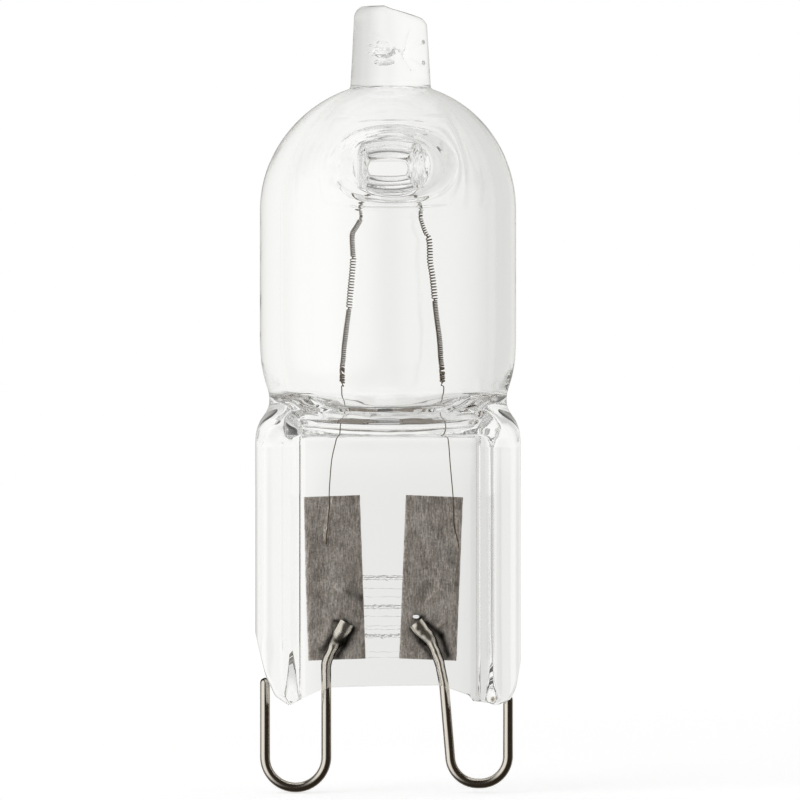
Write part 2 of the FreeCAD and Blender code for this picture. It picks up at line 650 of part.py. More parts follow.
def winding_points(foot, head):
    """The open turns, which leave the coil's axis at the foot and come back to it at the head."""
    full = (size("coil_diameter") - size("filament_wire")) / 2
    length = foot.distanceToPoint(head)
    steps = round(length / size("coil_pitch")) * TURN_STEP_COUNT
    place = Placement(foot, Rotation(UP, head - foot))
    points = []
    for step in range(steps + 1):
        angle = 2 * math.pi * step / TURN_STEP_COUNT
        radius = full * min(1, step / EASE_STEP_COUNT, (steps - step) / EASE_STEP_COUNT)
        points.append(place.multVec(Vector(radius * math.cos(angle), radius * math.sin(angle),
                                           length * step / steps)))
    return points


def half_filament(side):
    """Everything from one foil up to the top of the post."""
    outward = -1 if side == "left" else 1
    middle, level = size("post_shift"), size("dome_level") + size("post_rise")
    closed_foot = in_plane(size(side + "_coil_bottom_place"), size("coil_bottom"))
    open_foot = in_plane(size(side + "_coil_middle_place"), size("coil_open_end"))
    head = in_plane(size(side + "_coil_top_place"), size("coil_top"))
    points = leg_points(side) + winding_points(open_foot, head)
    points.append(in_plane(middle + outward * POST_RIDE, level - size("bridge_drop")))
    for step in range(POST_STEP_COUNT // 2 + 1):
        angle = math.pi * step / POST_STEP_COUNT
        points.append(in_plane(middle + outward * POST_RIDE * math.cos(angle),
                               level + POST_RIDE * math.sin(angle)))
    close_winding = Part.makeCylinder(size("coil_diameter") / 2, closed_foot.distanceToPoint(open_foot),
                                      closed_foot, open_foot - closed_foot)
    return fine_wire(points).fuse([close_winding, leg_foot(points)])


def leg(side):
    points = leg_points(side)
    return fine_wire(points).fuse(leg_foot(points))


filament = shaped("filament", half_filament("left").fuse(half_filament("right")))

# Quartz envelope: the outside, less the pressed places, the gas space and the seats of what it holds

outside = fuse("outside", [bulb, shoulder, seal, tip])
pressed_places = fuse("pressed_places", [front_pocket, back_pocket, front_dimple, back_dimple])
pressed = cut("pressed", outside, pressed_places)
ridged = fuse("ridged", [pressed] + ridges)
gas_space = cut("gas_space", cavity_space, post)
hollow = cut("hollow", ridged, gas_space)
legs = shaped("legs", Part.makeCompound([leg("left"), leg("right")]))
seats = doc.addObject("Part::Compound", "seats")
seats.Links = [foil_left, foil_right, contact_pin_left, contact_pin_right, legs]
quartz_envelope = cut("quartz_envelope", hollow, seats)

doc.recompute()

NODES = ("quartz_envelope", "foil_left", "foil_right", "contact_pin_left", "contact_pin_right", "filament")
for made in doc.Objects:
    if "Invalid" in made.State or "Error" in made.State:
        raise SystemExit("%s failed: %s" % (made.Name, made.State))
for name in NODES:
    shape = doc.getObject(name).Shape
    if shape.isNull() or not shape.isValid():
        raise SystemExit("%s has no sound shape" % name)
os.makedirs("parts", exist_ok=True)
for name in NODES:
    node = doc.getObject(name)
    node.Label = name
    node.Shape.exportStep("parts/%s.step" % name)
    print("%s: %d solid, %.4f mm3" % (name, len(node.Shape.Solids), node.Shape.Volume))
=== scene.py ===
import bpy
import math
import random
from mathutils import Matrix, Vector, noise


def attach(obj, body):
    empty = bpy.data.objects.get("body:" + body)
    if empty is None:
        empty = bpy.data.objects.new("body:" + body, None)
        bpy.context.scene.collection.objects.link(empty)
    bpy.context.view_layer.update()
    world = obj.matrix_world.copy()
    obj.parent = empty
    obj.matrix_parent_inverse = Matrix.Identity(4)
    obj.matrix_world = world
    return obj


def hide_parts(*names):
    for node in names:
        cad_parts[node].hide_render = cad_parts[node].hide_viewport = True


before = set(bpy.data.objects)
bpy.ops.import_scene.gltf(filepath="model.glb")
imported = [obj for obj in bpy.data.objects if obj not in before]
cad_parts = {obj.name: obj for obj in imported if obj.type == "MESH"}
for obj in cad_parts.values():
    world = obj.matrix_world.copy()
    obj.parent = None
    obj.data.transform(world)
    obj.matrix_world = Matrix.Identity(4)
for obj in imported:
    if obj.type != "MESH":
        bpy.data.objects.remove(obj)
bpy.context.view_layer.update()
mm = 0.001  # sizes below are in millimetres, Blender works in metres
print("CAD frame loaded")


def fromHex(text):
    # sRGB hex to the linear colour that the sockets take
    channels = [int(text[start:start + 2], 16) / 255 for start in (1, 3, 5)]
    linear = [c / 12.92 if c <= 0.04045 else ((c + 0.055) / 1.055) ** 2.4 for c in channels]
    return (*linear, 1.0)


def addNode(tree, kind, settings=None, sockets=None):
    # one node with its settings; a socket gets a value, a colour for hex text, or a link to another socket
    node = tree.nodes.new(kind)
    for name, value in (settings or {}).items():
        setattr(node, name, value)
    for name, value in (sockets or {}).items():
        if isinstance(value, bpy.types.NodeSocket):
            tree.links.new(value, node.inputs[name])
        else:
            isColour = isinstance(value, str) and value.startswith("#")
            node.inputs[name].default_value = fromHex(value) if isColour else value
    return node


def addObject(name, data):
    made = bpy.data.objects.new(name, data)
    bpy.context.scene.collection.objects.link(made)
    return made


def addPiece(name, points, faces, material):
    mesh = bpy.data.meshes.new(name)
    mesh.from_pydata([(x * mm, y * mm, z * mm) for x, y, z in points], [], faces)
    mesh.materials.append(material)
    mesh.shade_smooth()
    return addObject(name, mesh)


# Drawn lines: numbers that ease, lie between others or follow points


def ease(share):
    share = min(max(share, 0.0), 1.0)
    return share * share * (3 - 2 * share)


def between(first, second, share):
    return first + (second - first) * share


def alongLine(line, place):
    # height of a drawn line, given as (place, height) points, at one place
    if place <= line[0][0]:
        return line[0][1]
    for (left, low), (right, high) in zip(line, line[1:]):
        if place <= right:
            return between(low, high, (place - left) / (right - left))
    return line[-1][1]


def roundedLine(line, place):
    # the same as a smooth curve through the points
    if place <= line[0][0] or place >= line[-1][0]:
        return alongLine(line, place)
    number = [place <= point[0] for point in line].index(True) - 1
    slopes = []
    for middle in (number, number + 1):
        before, after = line[max(middle - 1, 0)], line[min(middle + 1, len(line) - 1)]
        slopes.append((after[1] - before[1]) / (after[0] - before[0]))
    (left, low), (right, high) = line[number], line[number + 1]
    share, width = (place - left) / (right - left), right - left
    square, cube = share ** 2, share ** 3
    return ((2 * cube - 3 * square + 1) * low + (cube - 2 * square + share) * width * slopes[0]
            + (3 * square - 2 * cube) * high + (cube - square) * width * slopes[1])


def nearStroke(x, z, start, end, halfWidth):
    # 1 on a straight stroke, falling off beside it as a bell of this half width
    runX, runZ = end[0] - start[0], end[1] - start[1]
    share = ((x - start[0]) * runX + (z - start[1]) * runZ) / (runX ** 2 + runZ ** 2)
    share = min(max(share, 0.0), 1.0)
    away = math.hypot(x - start[0] - runX * share, z - start[1] - runZ * share) / halfWidth
    return math.exp(-away * away)


def climb(start, runs):
    # levels going up; each run (upper level, step) goes on until its upper level is passed
    level = start
    for upper, step in runs:
        while level < upper:
            level += step
            yield level


# Nodes that several trees use; most give their output socket, and shaders give the node itself


def calculate(tree, operation, first, second=0.0, third=0.0):
    sockets = {0: first, 1: second, 2: third}
    return addNode(tree, "ShaderNodeMath", {"operation": operation}, sockets).outputs[0]


def product(tree, first, *others):
    for other in others:
        first = calculate(tree, "MULTIPLY", first, other)
    return first


def vectorMath(tree, operation, first, second=(0, 0, 0), result="Vector"):
    sockets = {0: first, "Scale" if operation == "SCALE" else 1: second}
    return addNode(tree, "ShaderNodeVectorMath", {"operation": operation}, sockets).outputs[result]


def ramped(tree, value, start, end, low=0.0, high=1.0, smooth=True):
    # from low to high while the value goes from start to end
    kind = "SMOOTHSTEP" if smooth else "LINEAR"
    return addNode(tree, "ShaderNodeMapRange", {"interpolation_type": kind}, {
        "Value": value, "From Min": start, "From Max": end, "To Min": low, "To Max": high}).outputs["Result"]


def speckle(tree, place, size, detail, settings=None, **others):
    # noise whose spots have about this size, a number or a socket
    scale = calculate(tree, "DIVIDE", 1.0, size) if isinstance(size, bpy.types.NodeSocket) else 1 / size
    return addNode(tree, "ShaderNodeTexNoise", settings, {
        "Vector": place, "Scale": scale, "Detail": detail, **others}).outputs["Fac"]


def mixed(tree, share, first, second):
    # share 0 gives the first colour, 1 the second
    return addNode(tree, "ShaderNodeMix", {"data_type": "RGBA"}, {0: share, 6: first, 7: second}).outputs[2]


def colourRamp(tree, share, stops):
    # stops are pairs of place and colour, in order
    ramp = addNode(tree, "ShaderNodeValToRGB", None, {"Fac": share})
    elements = ramp.color_ramp.elements
    elements.remove(elements[1])
    for number, (place, colour) in enumerate(stops):
        stop = elements.new(place) if number else elements[0]
        stop.position, stop.color = place, fromHex(colour)
    return ramp.outputs["Color"]


def objectPlace(tree):
    return addNode(tree, "ShaderNodeTexCoord").outputs["Object"]


def apart(tree, vector):
    return addNode(tree, "ShaderNodeSeparateXYZ", None, {0: vector}).outputs


def stretched(tree, place, width, length):
    # a place whose noise gets long upright grains
    return addNode(tree, "ShaderNodeMapping", None, {
        "Vector": place, "Scale": (1 / (width * mm), 1 / (width * mm), 1 / (length * mm))}).outputs[0]


def raised(tree, height, depth, strength):
    return addNode(tree, "ShaderNodeBump", None, {
        "Height": height, "Distance": depth * mm, "Strength": strength}).outputs["Normal"]


def emptyMaterial(name):
    material = bpy.data.materials.new(name)
    material.use_nodes = True
    material.node_tree.nodes.clear()
    return material, material.node_tree


def finishMaterial(material, shader, filling=None):
    output = addNode(material.node_tree, "ShaderNodeOutputMaterial", None, {"Surface": shader.outputs[0]})
    if filling:
        material.node_tree.links.new(filling.outputs[0], output.inputs["Volume"])
    return material


def metal(tree, colour, roughness, **others):
    return addNode(tree, "ShaderNodeBsdfPrincipled", None, {
        "Base Color": colour, "Metallic": 1.0, "Roughness": roughness, **others})


def glow(tree, colour, strength=1.0, kind="ShaderNodeEmission"):
    return addNode(tree, kind, None, {"Color": colour, "Strength": strength})


def mixedShader(tree, share, first, second):
    return addNode(tree, "ShaderNodeMixShader", None, {0: share, 1: first.outputs[0], 2: second.outputs[0]})


# Camera: straight on, far off with a long lens, as in the photograph

camera = {
    "distance": 420.0,
    "frameWidth": 40.62,  # what the picture shows across, at the lamp
    "acrossCentre": 0.61,
    "levelCentre": 19.91,
    "sensor": 36.0,
    "clip": (0.01, 20.0),  # metres
}


def addCamera():
    data = bpy.data.cameras.new("frontCamera")
    data.sensor_width = camera["sensor"]
    data.lens = camera["sensor"] * camera["distance"] / camera["frameWidth"]
    data.clip_start, data.clip_end = camera["clip"]
    holder = addObject("frontCamera", data)
    holder.location = Vector((camera["acrossCentre"], -camera["distance"], camera["levelCentre"])) * mm
    holder.rotation_euler = (math.pi / 2, 0, 0)
    bpy.context.scene.camera = holder


addCamera()
print("camera set")

# Fused quartz: clear, drawn and flame-worked, so it bends light and has no colour of its own

quartzFinish = {
    "colour": "#ffffff",
    "ior": 1.458,
    "roughness": 0.0,
    "absorption": 8.0,  # per metre, the faint grey of thick glass seen edge on
    "absorptionColour": "#e9ebe8",
    "waveLength": 1.6,  # slow waves left by the flame
    "waveDepth": 0.012,
    "waveStrength": 0.6,
    "waveDetail": 1.0,
    "waveRoughness": 0.4,
}


def fusedQuartz():
    material, tree = emptyMaterial("fusedQuartz")
    wave = speckle(tree, objectPlace(tree), quartzFinish["waveLength"] * mm, quartzFinish["waveDetail"],
                   Roughness=quartzFinish["waveRoughness"])
    shader = addNode(tree, "ShaderNodeBsdfPrincipled", None, {
        "Base Color": quartzFinish["colour"], "Roughness": quartzFinish["roughness"],
        "IOR": quartzFinish["ior"], "Transmission Weight": 1.0,
        "Normal": raised(tree, wave, quartzFinish["waveDepth"], quartzFinish["waveStrength"])})
    depth = addNode(tree, "ShaderNodeVolumeAbsorption", None, {
        "Color": quartzFinish["absorptionColour"], "Density": quartzFinish["absorption"]})
    return finishMaterial(material, shader, depth)


# Quartz envelope: outside and inside as two closed skins of one piece

quartz = {
    "columns": 216,
    "footSteps": 14,
    "bulbRadius": 6.5,
    "domeLevel": 29.55,
    "shoulderTop": 23.2,
    "boxFrom": 20.3,  # below this the oval outline turns into the seal's box
    "boxAt": 18.0,
    # rows going up: each run (upper level, step) goes on until its upper level is passed
    "sealRows": ((17.55, 0.27),),
    "shoulderRows": ((21.6, 0.085), (23.2, 0.16)),
    "tubeRows": ((28.35, 0.25), (29.25, 0.16)),
    "domeSteps": 46,
    # half depth of the outside by height, down the ribs and down the middle panel
    "ribLine": ((17.5, 2.38), (17.9, 2.46), (18.4, 2.8), (18.9, 3.35), (19.4, 4.08), (19.9, 4.88),
                (20.5, 5.68), (21.2, 6.22), (21.9, 6.43), (22.5, 6.49), (23.1, 6.5), (23.3, 6.5)),
    "panelLine": ((18.02, 1.4), (18.1, 1.44), (18.2, 1.6), (18.32, 1.78), (18.55, 2.1), (18.85, 2.68),
                  (19.2, 3.6), (19.7, 4.8), (20.3, 5.72), (21.0, 6.24), (21.7, 6.44), (22.5, 6.5),
                  (23.1, 6.5), (23.3, 6.5)),
    # half width by height, narrowest at the waist
    "widthLine": ((17.8, 6.72), (18.38, 6.66), (18.64, 6.58), (18.89, 6.47), (19.14, 6.3), (19.4, 6.14),
                  (19.65, 6.05), (19.9, 6.03), (20.16, 6.04), (20.41, 6.09), (20.92, 6.25), (21.43, 6.37),
                  (21.94, 6.45), (22.5, 6.49), (23.1, 6.5), (23.3, 6.5)),
    "sealHalfWidth": 6.72,
    "ribHalf": 2.38,
    "ribRound": 1.0,
    "panelCentre": 0.18,
    "panelHalfWidth": 4.5,
    "panelFlank": 0.9,
    "footLevel": 4.47,
    "footRound": 0.32,
    "footFade": 9.0,
    # lower edge of the seal across the front: sheared corners, a rib each side and the panel between
    "footLine": ((-6.72, 8.1), (-6.2, 6.0), (-5.7, 4.95), (-5.0, 4.47), (-3.35, 5.25), (-2.84, 5.36),
                 (0.0, 5.43), (2.7, 5.46), (3.05, 5.33), (4.16, 4.93), (4.3, 4.68), (5.1, 4.58),
                 (5.5, 4.47), (6.2, 4.78), (6.5, 5.4), (6.72, 6.6)),
    "tipShift": 0.13,
    "tipFoot": 35.72,
    "tipFootRadius": 2.05,
    "tipTopRadius": 1.87,
    "tipTop": 39.88,
    "tipRound": 0.45,
    "tipFillet": 0.1,
    "filletPoints": ((0.0, 0.02), (0.01, 0.13)),  # inwards and up from the tip's foot
    "filletSteps": 5,
    "tipSideSteps": 36,
    "tipEdgeSteps": 7,
    "tipTopSteps": 9,
    # top of the drawn-off tip, higher on the left where it was pulled away
    "tipLine": ((-1.8, 39.75), (-1.4, 39.88), (-0.2, 39.88), (0.2, 39.72), (1.0, 39.5), (1.75, 39.3),
                (2.1, 39.1)),
    "waveFrom": 17.5,  # above this the flame left the outside a little uneven
    "waveScale": 0.55,
    "waveDepth": 0.03,
    "waveRuns": ((23.5, -3.0), (35.7, 1.5)),  # none from this level, growing over this run
    "marksTurn": 22.0,  # marks go straight back below this, and towards the middle above
}

dimple = {
    "hole": (29.3, 34.25, 24),  # lower and upper level, half width in columns
    "centre": (0.0, 31.65),
    "mouthCentre": (0.35, 31.75),
    "mouthHalf": (3.1, 1.85),
    "stepHalf": (1.55, 1.35),
    "stepAt": 0.25,
    "floorHalf": (1.04, 0.39),
    "floorDepth": 0.45,  # how far the floor stays from the middle of the lamp
    "sinkLine": ((0.0, 1.0), (0.07, 0.83), (0.2, 0.42), (0.3, 0.27), (0.6, 0.1), (0.85, 0.02), (1.0, 0.0)),
    "floorRoundness": 0.45,
    "mouthRoundness": 1.0,
    "lipRings": 14,
    "funnelRings": 34,
    "ripples": 5.0,
    "rippleDepth": 0.034,
    "wallRipples": 3.0,  # the wall of the funnel is drawn in and out on its way down
    "wallRipple": 0.12,
}


def sectionLoop(halfX, halfY, corner, boxShare, columns):
    # a level's outline, -X, front, +X, back: an oval that turns into a box with rounded corners
    sideRun, arcRun, faceRun = halfY - corner, corner * math.pi / 2, halfX - corner
    quarter = []
    for step in range(columns // 4 + 1):
        turn = math.pi / 2 * step / (columns // 4)
        run = (sideRun + arcRun + faceRun) * step / (columns // 4)
        if run < sideRun:
            x, y = halfX, run
        elif run < sideRun + arcRun:
            angle = (run - sideRun) / corner
            x, y = faceRun + corner * math.cos(angle), sideRun + corner * math.sin(angle)
        else:
            x, y = faceRun - (run - sideRun - arcRun), halfY
        quarter.append((between(halfX * math.cos(turn), x, boxShare),
                        between(halfY * math.sin(turn), y, boxShare)))
    front = [(-x, -y) for x, y in quarter] + [(x, -y) for x, y in reversed(quarter[:-1])]
    back = quarter[1:] + [(-x, y) for x, y in reversed(quarter[1:-1])]
    return front + back


def bulbRadiusAt(level):
    # outside of the tube below the dome level, and of the dome above it
    rise = max(level - quartz["domeLevel"], 0.0) / quartz["bulbRadius"]
    return quartz["bulbRadius"] * math.sqrt(max(1 - rise * rise, 0.0))


def roundRow(level, radius, shift):
    return (level, radius, radius, radius, 0, shift)


def edgeRows(level, radius, halfX, halfY, corner):
    # the rounded lower edge, from the flat underside out to the full size
    rows, steps = [], 6
    for step in range(steps + 1):
        angle = math.pi / 2 * step / steps
        inset = radius * (1 - math.sin(angle))
        rows.append((level + radius * (1 - math.cos(angle)), halfX - inset, halfY - inset,
                     corner - inset, 1, 0))
    return rows


def outsideRows():
    # each row: nominal level, half width, half depth, corner radius, how boxy, shift to the right
    halfX, halfY, corner = quartz["sealHalfWidth"], quartz["ribHalf"], quartz["ribRound"]
    rows = edgeRows(quartz["footLevel"], quartz["footRound"], halfX, halfY, corner)
    rows += [(level, halfX, halfY, corner, 1, 0) for level in climb(rows[-1][0], quartz["sealRows"])]
    for level in climb(rows[-1][0], quartz["shoulderRows"]):
        share = ease((quartz["boxFrom"] - level) / (quartz["boxFrom"] - quartz["boxAt"]))
        rows.append((level, roundedLine(quartz["widthLine"], level), roundedLine(quartz["ribLine"], level),
                     corner, share, 0))
    rows += [roundRow(level, quartz["bulbRadius"], 0) for level in climb(rows[-1][0], quartz["tubeRows"])]
    lastAngle = math.acos((quartz["tipFootRadius"] + quartz["tipFillet"]) / quartz["bulbRadius"])
    for step in range(quartz["domeSteps"] + 1):
        share = step / quartz["domeSteps"]
        radius = quartz["bulbRadius"] * math.cos(lastAngle * share)
        rows.append(roundRow(quartz["domeLevel"] + quartz["bulbRadius"] * math.sin(lastAngle * share), radius,
                             quartz["tipShift"] * ease(share)))
    return rows + tipRows((radius, rows[-1][0]))


def tipRows(start):
    # a small fillet where the tip stands on the dome, then its side, its rounded edge and its top
    bend, end = [(quartz["tipFootRadius"] - inset, quartz["tipFoot"] + rise)
                 for inset, rise in quartz["filletPoints"]]
    steps = quartz["filletSteps"]
    sizes = []
    for step in range(1, steps + 1):
        t = step / steps
        sizes.append([(1 - t) ** 2 * a + 2 * t * (1 - t) * b + t * t * c
                      for a, b, c in zip(start, bend, end)])
    edge, top = quartz["tipTopRadius"] - quartz["tipRound"], quartz["tipTop"] - quartz["tipRound"]
    steps = quartz["tipSideSteps"]
    sizes += [(between(end[0], quartz["tipTopRadius"], step / steps), between(end[1], top, step / steps))
              for step in range(1, steps + 1)]
    steps = quartz["tipEdgeSteps"]
    for step in range(1, steps + 1):
        angle = math.pi / 2 * step / steps
        sizes.append((edge + quartz["tipRound"] * math.cos(angle),
                      top + quartz["tipRound"] * math.sin(angle)))
    steps = quartz["tipTopSteps"]
    sizes += [(edge * (1 - step / steps), quartz["tipTop"]) for step in range(1, steps)]
    return [roundRow(level, radius, quartz["tipShift"]) for radius, level in sizes]


# Marks that the flame and the jaws left in the outside: (x, z) from, to, half width, depth, side of the lamp

flameMarks = (
    ((-4.45, 20.25), (-4.2, 19.3), 0.2, 0.05, -1),
    ((-5.35, 18.62), (-5.05, 18.3), 0.22, -0.05, -1),
    ((4.45, 19.3), (6.0, 20.95), 0.16, 0.05, -1),
    ((4.6, 20.9), (4.68, 20.0), 0.16, 0.03, -1),
    ((5.45, 19.05), (5.6, 18.75), 0.2, -0.05, -1),
    ((-5.6, 7.55), (-5.45, 7.1), 0.35, 0.018, -1),
    ((5.35, 7.7), (5.5, 5.2), 0.25, 0.02, -1),
    ((0.85, 37.3), (1.2, 38.5), 0.12, 0.16, -1),
    ((0.75, 37.5), (1.25, 36.7), 0.12, 0.17, -1),
    ((1.0, 37.35), (1.75, 37.0), 0.11, 0.14, -1),
    ((1.0, 37.7), (1.75, 38.05), 0.11, 0.13, -1),
    ((0.3, 37.75), (0.8, 37.6), 0.13, 0.12, -1),
    ((-0.85, 38.35), (-0.2, 38.1), 0.14, 0.12, -1),
    ((0.1, 33.45), (-1.17, 33.2), 0.12, 0.03, -1),
    ((-1.17, 33.2), (-2.18, 32.5), 0.18, 0.07, -1),
    ((-2.18, 32.5), (-2.66, 31.69), 0.2, 0.1, -1),
    ((-2.66, 31.69), (-2.6, 30.9), 0.22, 0.16, -1),
    ((-2.6, 30.8), (-2.2, 31.1), 0.18, 0.1, -1),
    ((-2.2, 31.1), (-1.78, 31.28), 0.1, 0.03, -1),
    ((-2.3, 33.0), (-2.95, 32.2), 0.1, 0.03, -1),
    ((2.3, 33.0), (3.05, 32.2), 0.1, 0.03, -1),
    ((3.05, 32.2), (3.1, 31.2), 0.1, 0.03, -1),
    ((2.4, 32.5), (2.75, 31.6), 0.1, 0.03, -1),
    ((1.5, 33.35), (2.05, 32.95), 0.16, 0.1, -1),
    ((4.3, 20.6), (4.9, 19.4), 0.2, 0.05, 1),
    ((-5.3, 19.6), (-4.6, 20.7), 0.2, 0.05, 1),
)


def markDepth(x, y, z):
    return sum(deep * nearStroke(x, z, start, end, halfWidth)
               for start, end, halfWidth, deep, side in flameMarks if y * side >= 0)


def finishOutside(x, y, z):
    # foot line, panel, slanting tip and the marks, on one point of the plain outside
    side, level = -1 if y < 0 else 1, z
    if z < quartz["footLevel"] + quartz["footFade"]:
        fade = (1 - (z - quartz["footLevel"]) / quartz["footFade"]) ** 2
        z += (alongLine(quartz["footLine"], x) - quartz["footLevel"]) * fade
    fromCentre = abs(x - quartz["panelCentre"] * -side)
    inPanel = 1 - ease((fromCentre - quartz["panelHalfWidth"]) / quartz["panelFlank"])
    if level < quartz["shoulderTop"]:
        rib, panel = roundedLine(quartz["ribLine"], level), roundedLine(quartz["panelLine"], level)
        pressed = y * min(panel / rib, 1.0) if level > quartz["boxAt"] else min(abs(y), panel) * side
        y = between(y, pressed, inPanel)
    if z > quartz["tipFoot"]:
        share = (z - quartz["tipFoot"]) / (quartz["tipTop"] - quartz["tipFoot"])
        z += (alongLine(quartz["tipLine"], x) - quartz["tipTop"]) * share * share
    depth = markDepth(x, y, z)
    if z > quartz["waveFrom"]:
        wave = 0.5 + 0.5 * noise.noise(Vector((x, y, z)) * quartz["waveScale"])
        strength = sum(ease((z - gone) / run) for gone, run in quartz["waveRuns"])
        depth += wave * quartz["waveDepth"] * strength
    if z <= quartz["marksTurn"]:
        return x, y - side * depth, z
    away = math.hypot(x, y) or 1.0
    return x - x / away * depth, y - y / away * depth, z


def gridSkin(rows, finish, outward, hole, columns):
    # a skin of rows; the hole, (first row, last row, half columns), is left open at the front and back
    points, faces = [], []
    for level, halfX, halfY, corner, boxShare, shift in rows:
        for x, y in sectionLoop(halfX, halfY, corner, boxShare, columns):
            points.append(finish(x + shift, y, level))
    first, last, half = hole
    middles = (columns // 4, columns * 3 // 4)
    for row in range(len(rows) - 1):
        for column in range(columns):
            if first <= row < last and any(middle - half <= column < middle + half for middle in middles):
                continue
            near = (column + 1) % columns
            quad = [row * columns + column, row * columns + near,
                    (row + 1) * columns + near, (row + 1) * columns + column]
            faces.append(quad if outward else quad[::-1])
    return points, faces


def closeFoot(points, faces, outward, columns, steps):
    # the lowest row is closed straight across from front to back
    strips = []
    for column in range(1, columns // 2):
        front, back = Vector(points[column]), Vector(points[columns - column])
        strip = [column]
        for step in range(1, steps):
            points.append(tuple(front.lerp(back, step / steps)))
            strip.append(len(points) - 1)
        strips.append(strip + [columns - column])
    for left, right in zip(strips, strips[1:]):
        for step in range(steps):
            quad = [left[step], left[step + 1], right[step + 1], right[step]]
            faces.append(quad if outward else quad[::-1])
    for end, strip, turned in ((0, strips[0], False), (columns // 2, strips[-1], True)):
        for step in range(steps):
            corner = [end, strip[step + 1], strip[step]]
            faces.append(corner[::-1] if turned != (not outward) else corner)


def closeTop(points, faces, outward, columns, lastRow):
    ring = [lastRow * columns + column for column in range(columns)]
    middle = sum((Vector(points[index]) for index in ring), Vector()) / columns
    points.append(tuple(middle))
    for column in range(columns):
        corner = [ring[column], ring[(column + 1) % columns], len(points) - 1]
        faces.append(corner if outward else corner[::-1])


def squareToRound(p, q, roundness):
    return (between(p, p * math.sqrt(1 - q * q / 2), roundness),
            between(q, q * math.sqrt(1 - p * p / 2), roundness))


def holeRim(hole, middle, columns):
    # vertex and place (p, q), each from -1 to 1, round the rim of a hole
    first, last, half = hole
    rim = []
    height = last - first
    for step in range(2 * half):
        rim.append((first * columns + middle - half + step, -1 + step / half, -1.0))
    for step in range(height):
        rim.append(((first + step) * columns + middle + half, 1.0, -1 + 2 * step / height))
    for step in range(2 * half):
        rim.append((last * columns + middle + half - step, 1 - step / half, 1.0))
    for step in range(height):
        rim.append(((last - step) * columns + middle - half, -1.0, 1 - 2 * step / height))
    return rim


def pressedRings(points, faces, rim, side, outward, shapes):
    # rings from the rim inwards; each shape gives a point for (rim point, p, q)
    ring = [index for index, p, q in rim]
    count = len(rim)
    for shape in shapes:
        inner = []
        for index, p, q in rim:
            points.append(shape(points[index], p, q, side))
            inner.append(len(points) - 1)
        for step in range(count):
            after = (step + 1) % count
            quad = [ring[step], ring[after], inner[after], inner[step]]
            faces.append(quad if outward else quad[::-1])
        ring = inner
    return ring


def funnelShape(share, sizes, wall):
    # share 0 is the mouth, 1 the floor or the middle of the post
    spread = 1 - share
    (centreX, centreZ), (mouthX, mouthZ) = sizes["centre"], sizes["mouthCentre"]
    inward = roundedLine(sizes["sinkLine"], spread)
    drawn = sizes["wallRipple"] * (1 - math.cos(inward * sizes["wallRipples"] * 2 * math.pi)) / 2
    halfX, halfZ = [alongLine(((0.0, floor), (sizes["stepAt"], step), (1.0, mouth)), spread)
                    for floor, step, mouth in zip(sizes["floorHalf"], sizes["stepHalf"], sizes["mouthHalf"])]
    halfX, halfZ = halfX - drawn / 2, halfZ - drawn
    roundness = between(sizes["floorRoundness"], sizes["mouthRoundness"],
                        ease((spread - sizes["stepAt"]) / (1 - sizes["stepAt"]) * 1.5))
    waves = 1 - math.cos(spread * sizes["ripples"] * 2 * math.pi)
    ripple = sizes["rippleDepth"] * waves * ease(spread * 1.6)

    def shape(rimPoint, p, q, side):
        p, q = squareToRound(p, q, roundness)
        x = between(centreX, mouthX, spread) + p * halfX * -side
        z = between(centreZ, mouthZ, spread) + q * halfZ
        return (x, side * between(skinDepth(x, z, side, sizes, wall, ripple), sizes["floorDepth"], inward), z)

    return shape


def lipShape(share, sizes, wall):
    # share 0 is the rim of the hole in the grid, 1 the funnel's mouth
    mouth = funnelShape(0.0, sizes, wall)
    ripple = sizes["rippleDepth"] * (1 - math.cos(share * 4 * math.pi)) * ease(share * 2)

    def shape(rimPoint, p, q, side):
        goal = mouth(rimPoint, p, q, side)
        x, z = between(rimPoint[0], goal[0], share), between(rimPoint[2], goal[2], share)
        return (x, side * skinDepth(x, z, side, sizes, wall, ripple), z)

    return shape


def skinDepth(x, z, side, sizes, wall, ripple):
    # how far the bulb's skin lies from the middle here, less the ripple and the marks
    marks = markDepth(x, side, z) if sizes is dimple else 0.0
    return math.sqrt(max((bulbRadiusAt(z) - wall) ** 2 - x * x, 0.01)) - ripple - marks


def funnelShares(sizes):
    # shares whose rings lie evenly along the funnel's wall
    fine = 400
    depth = quartz["bulbRadius"] - sizes["floorDepth"]
    width = sizes["mouthHalf"][0] - sizes["floorHalf"][0]
    runs = [0.0]
    for step in range(fine):
        first, second = [roundedLine(sizes["sinkLine"], 1 - place / fine) for place in (step, step + 1)]
        runs.append(runs[-1] + math.hypot((second - first) * depth, width / fine))
    shares, step = [], 0
    for number in range(1, sizes["funnelRings"] + 1):
        goal = runs[-1] * number / sizes["funnelRings"]
        while step < fine and runs[step] < goal - 1e-9:
            step += 1
        shares.append(step / fine)
    return shares


def closeFloor(points, faces, ring, hole, side):
    # a flat grid over the dimple's floor, whose edge is the last ring
    first, last, half = hole
    width, height = 2 * half, last - first
    index = {}
    for step in range(width):
        index[step, 0] = ring[step]
        index[width - step, height] = ring[width + height + step]
    for step in range(height):
        index[width, step] = ring[width + step]
        index[0, height - step] = ring[2 * width + height + step]
    (centreX, centreZ), (halfX, halfZ) = dimple["centre"], dimple["floorHalf"]
    for across in range(1, width):
        for up in range(1, height):
            p, q = squareToRound(-1 + 2 * across / width, -1 + 2 * up / height, dimple["floorRoundness"])
            points.append((centreX + p * halfX * -side, side * dimple["floorDepth"], centreZ + q * halfZ))
            index[across, up] = len(points) - 1
    for across in range(width):
        for up in range(height):
            faces.append([index[across, up], index[across + 1, up],
                          index[across + 1, up + 1], index[across, up + 1]])


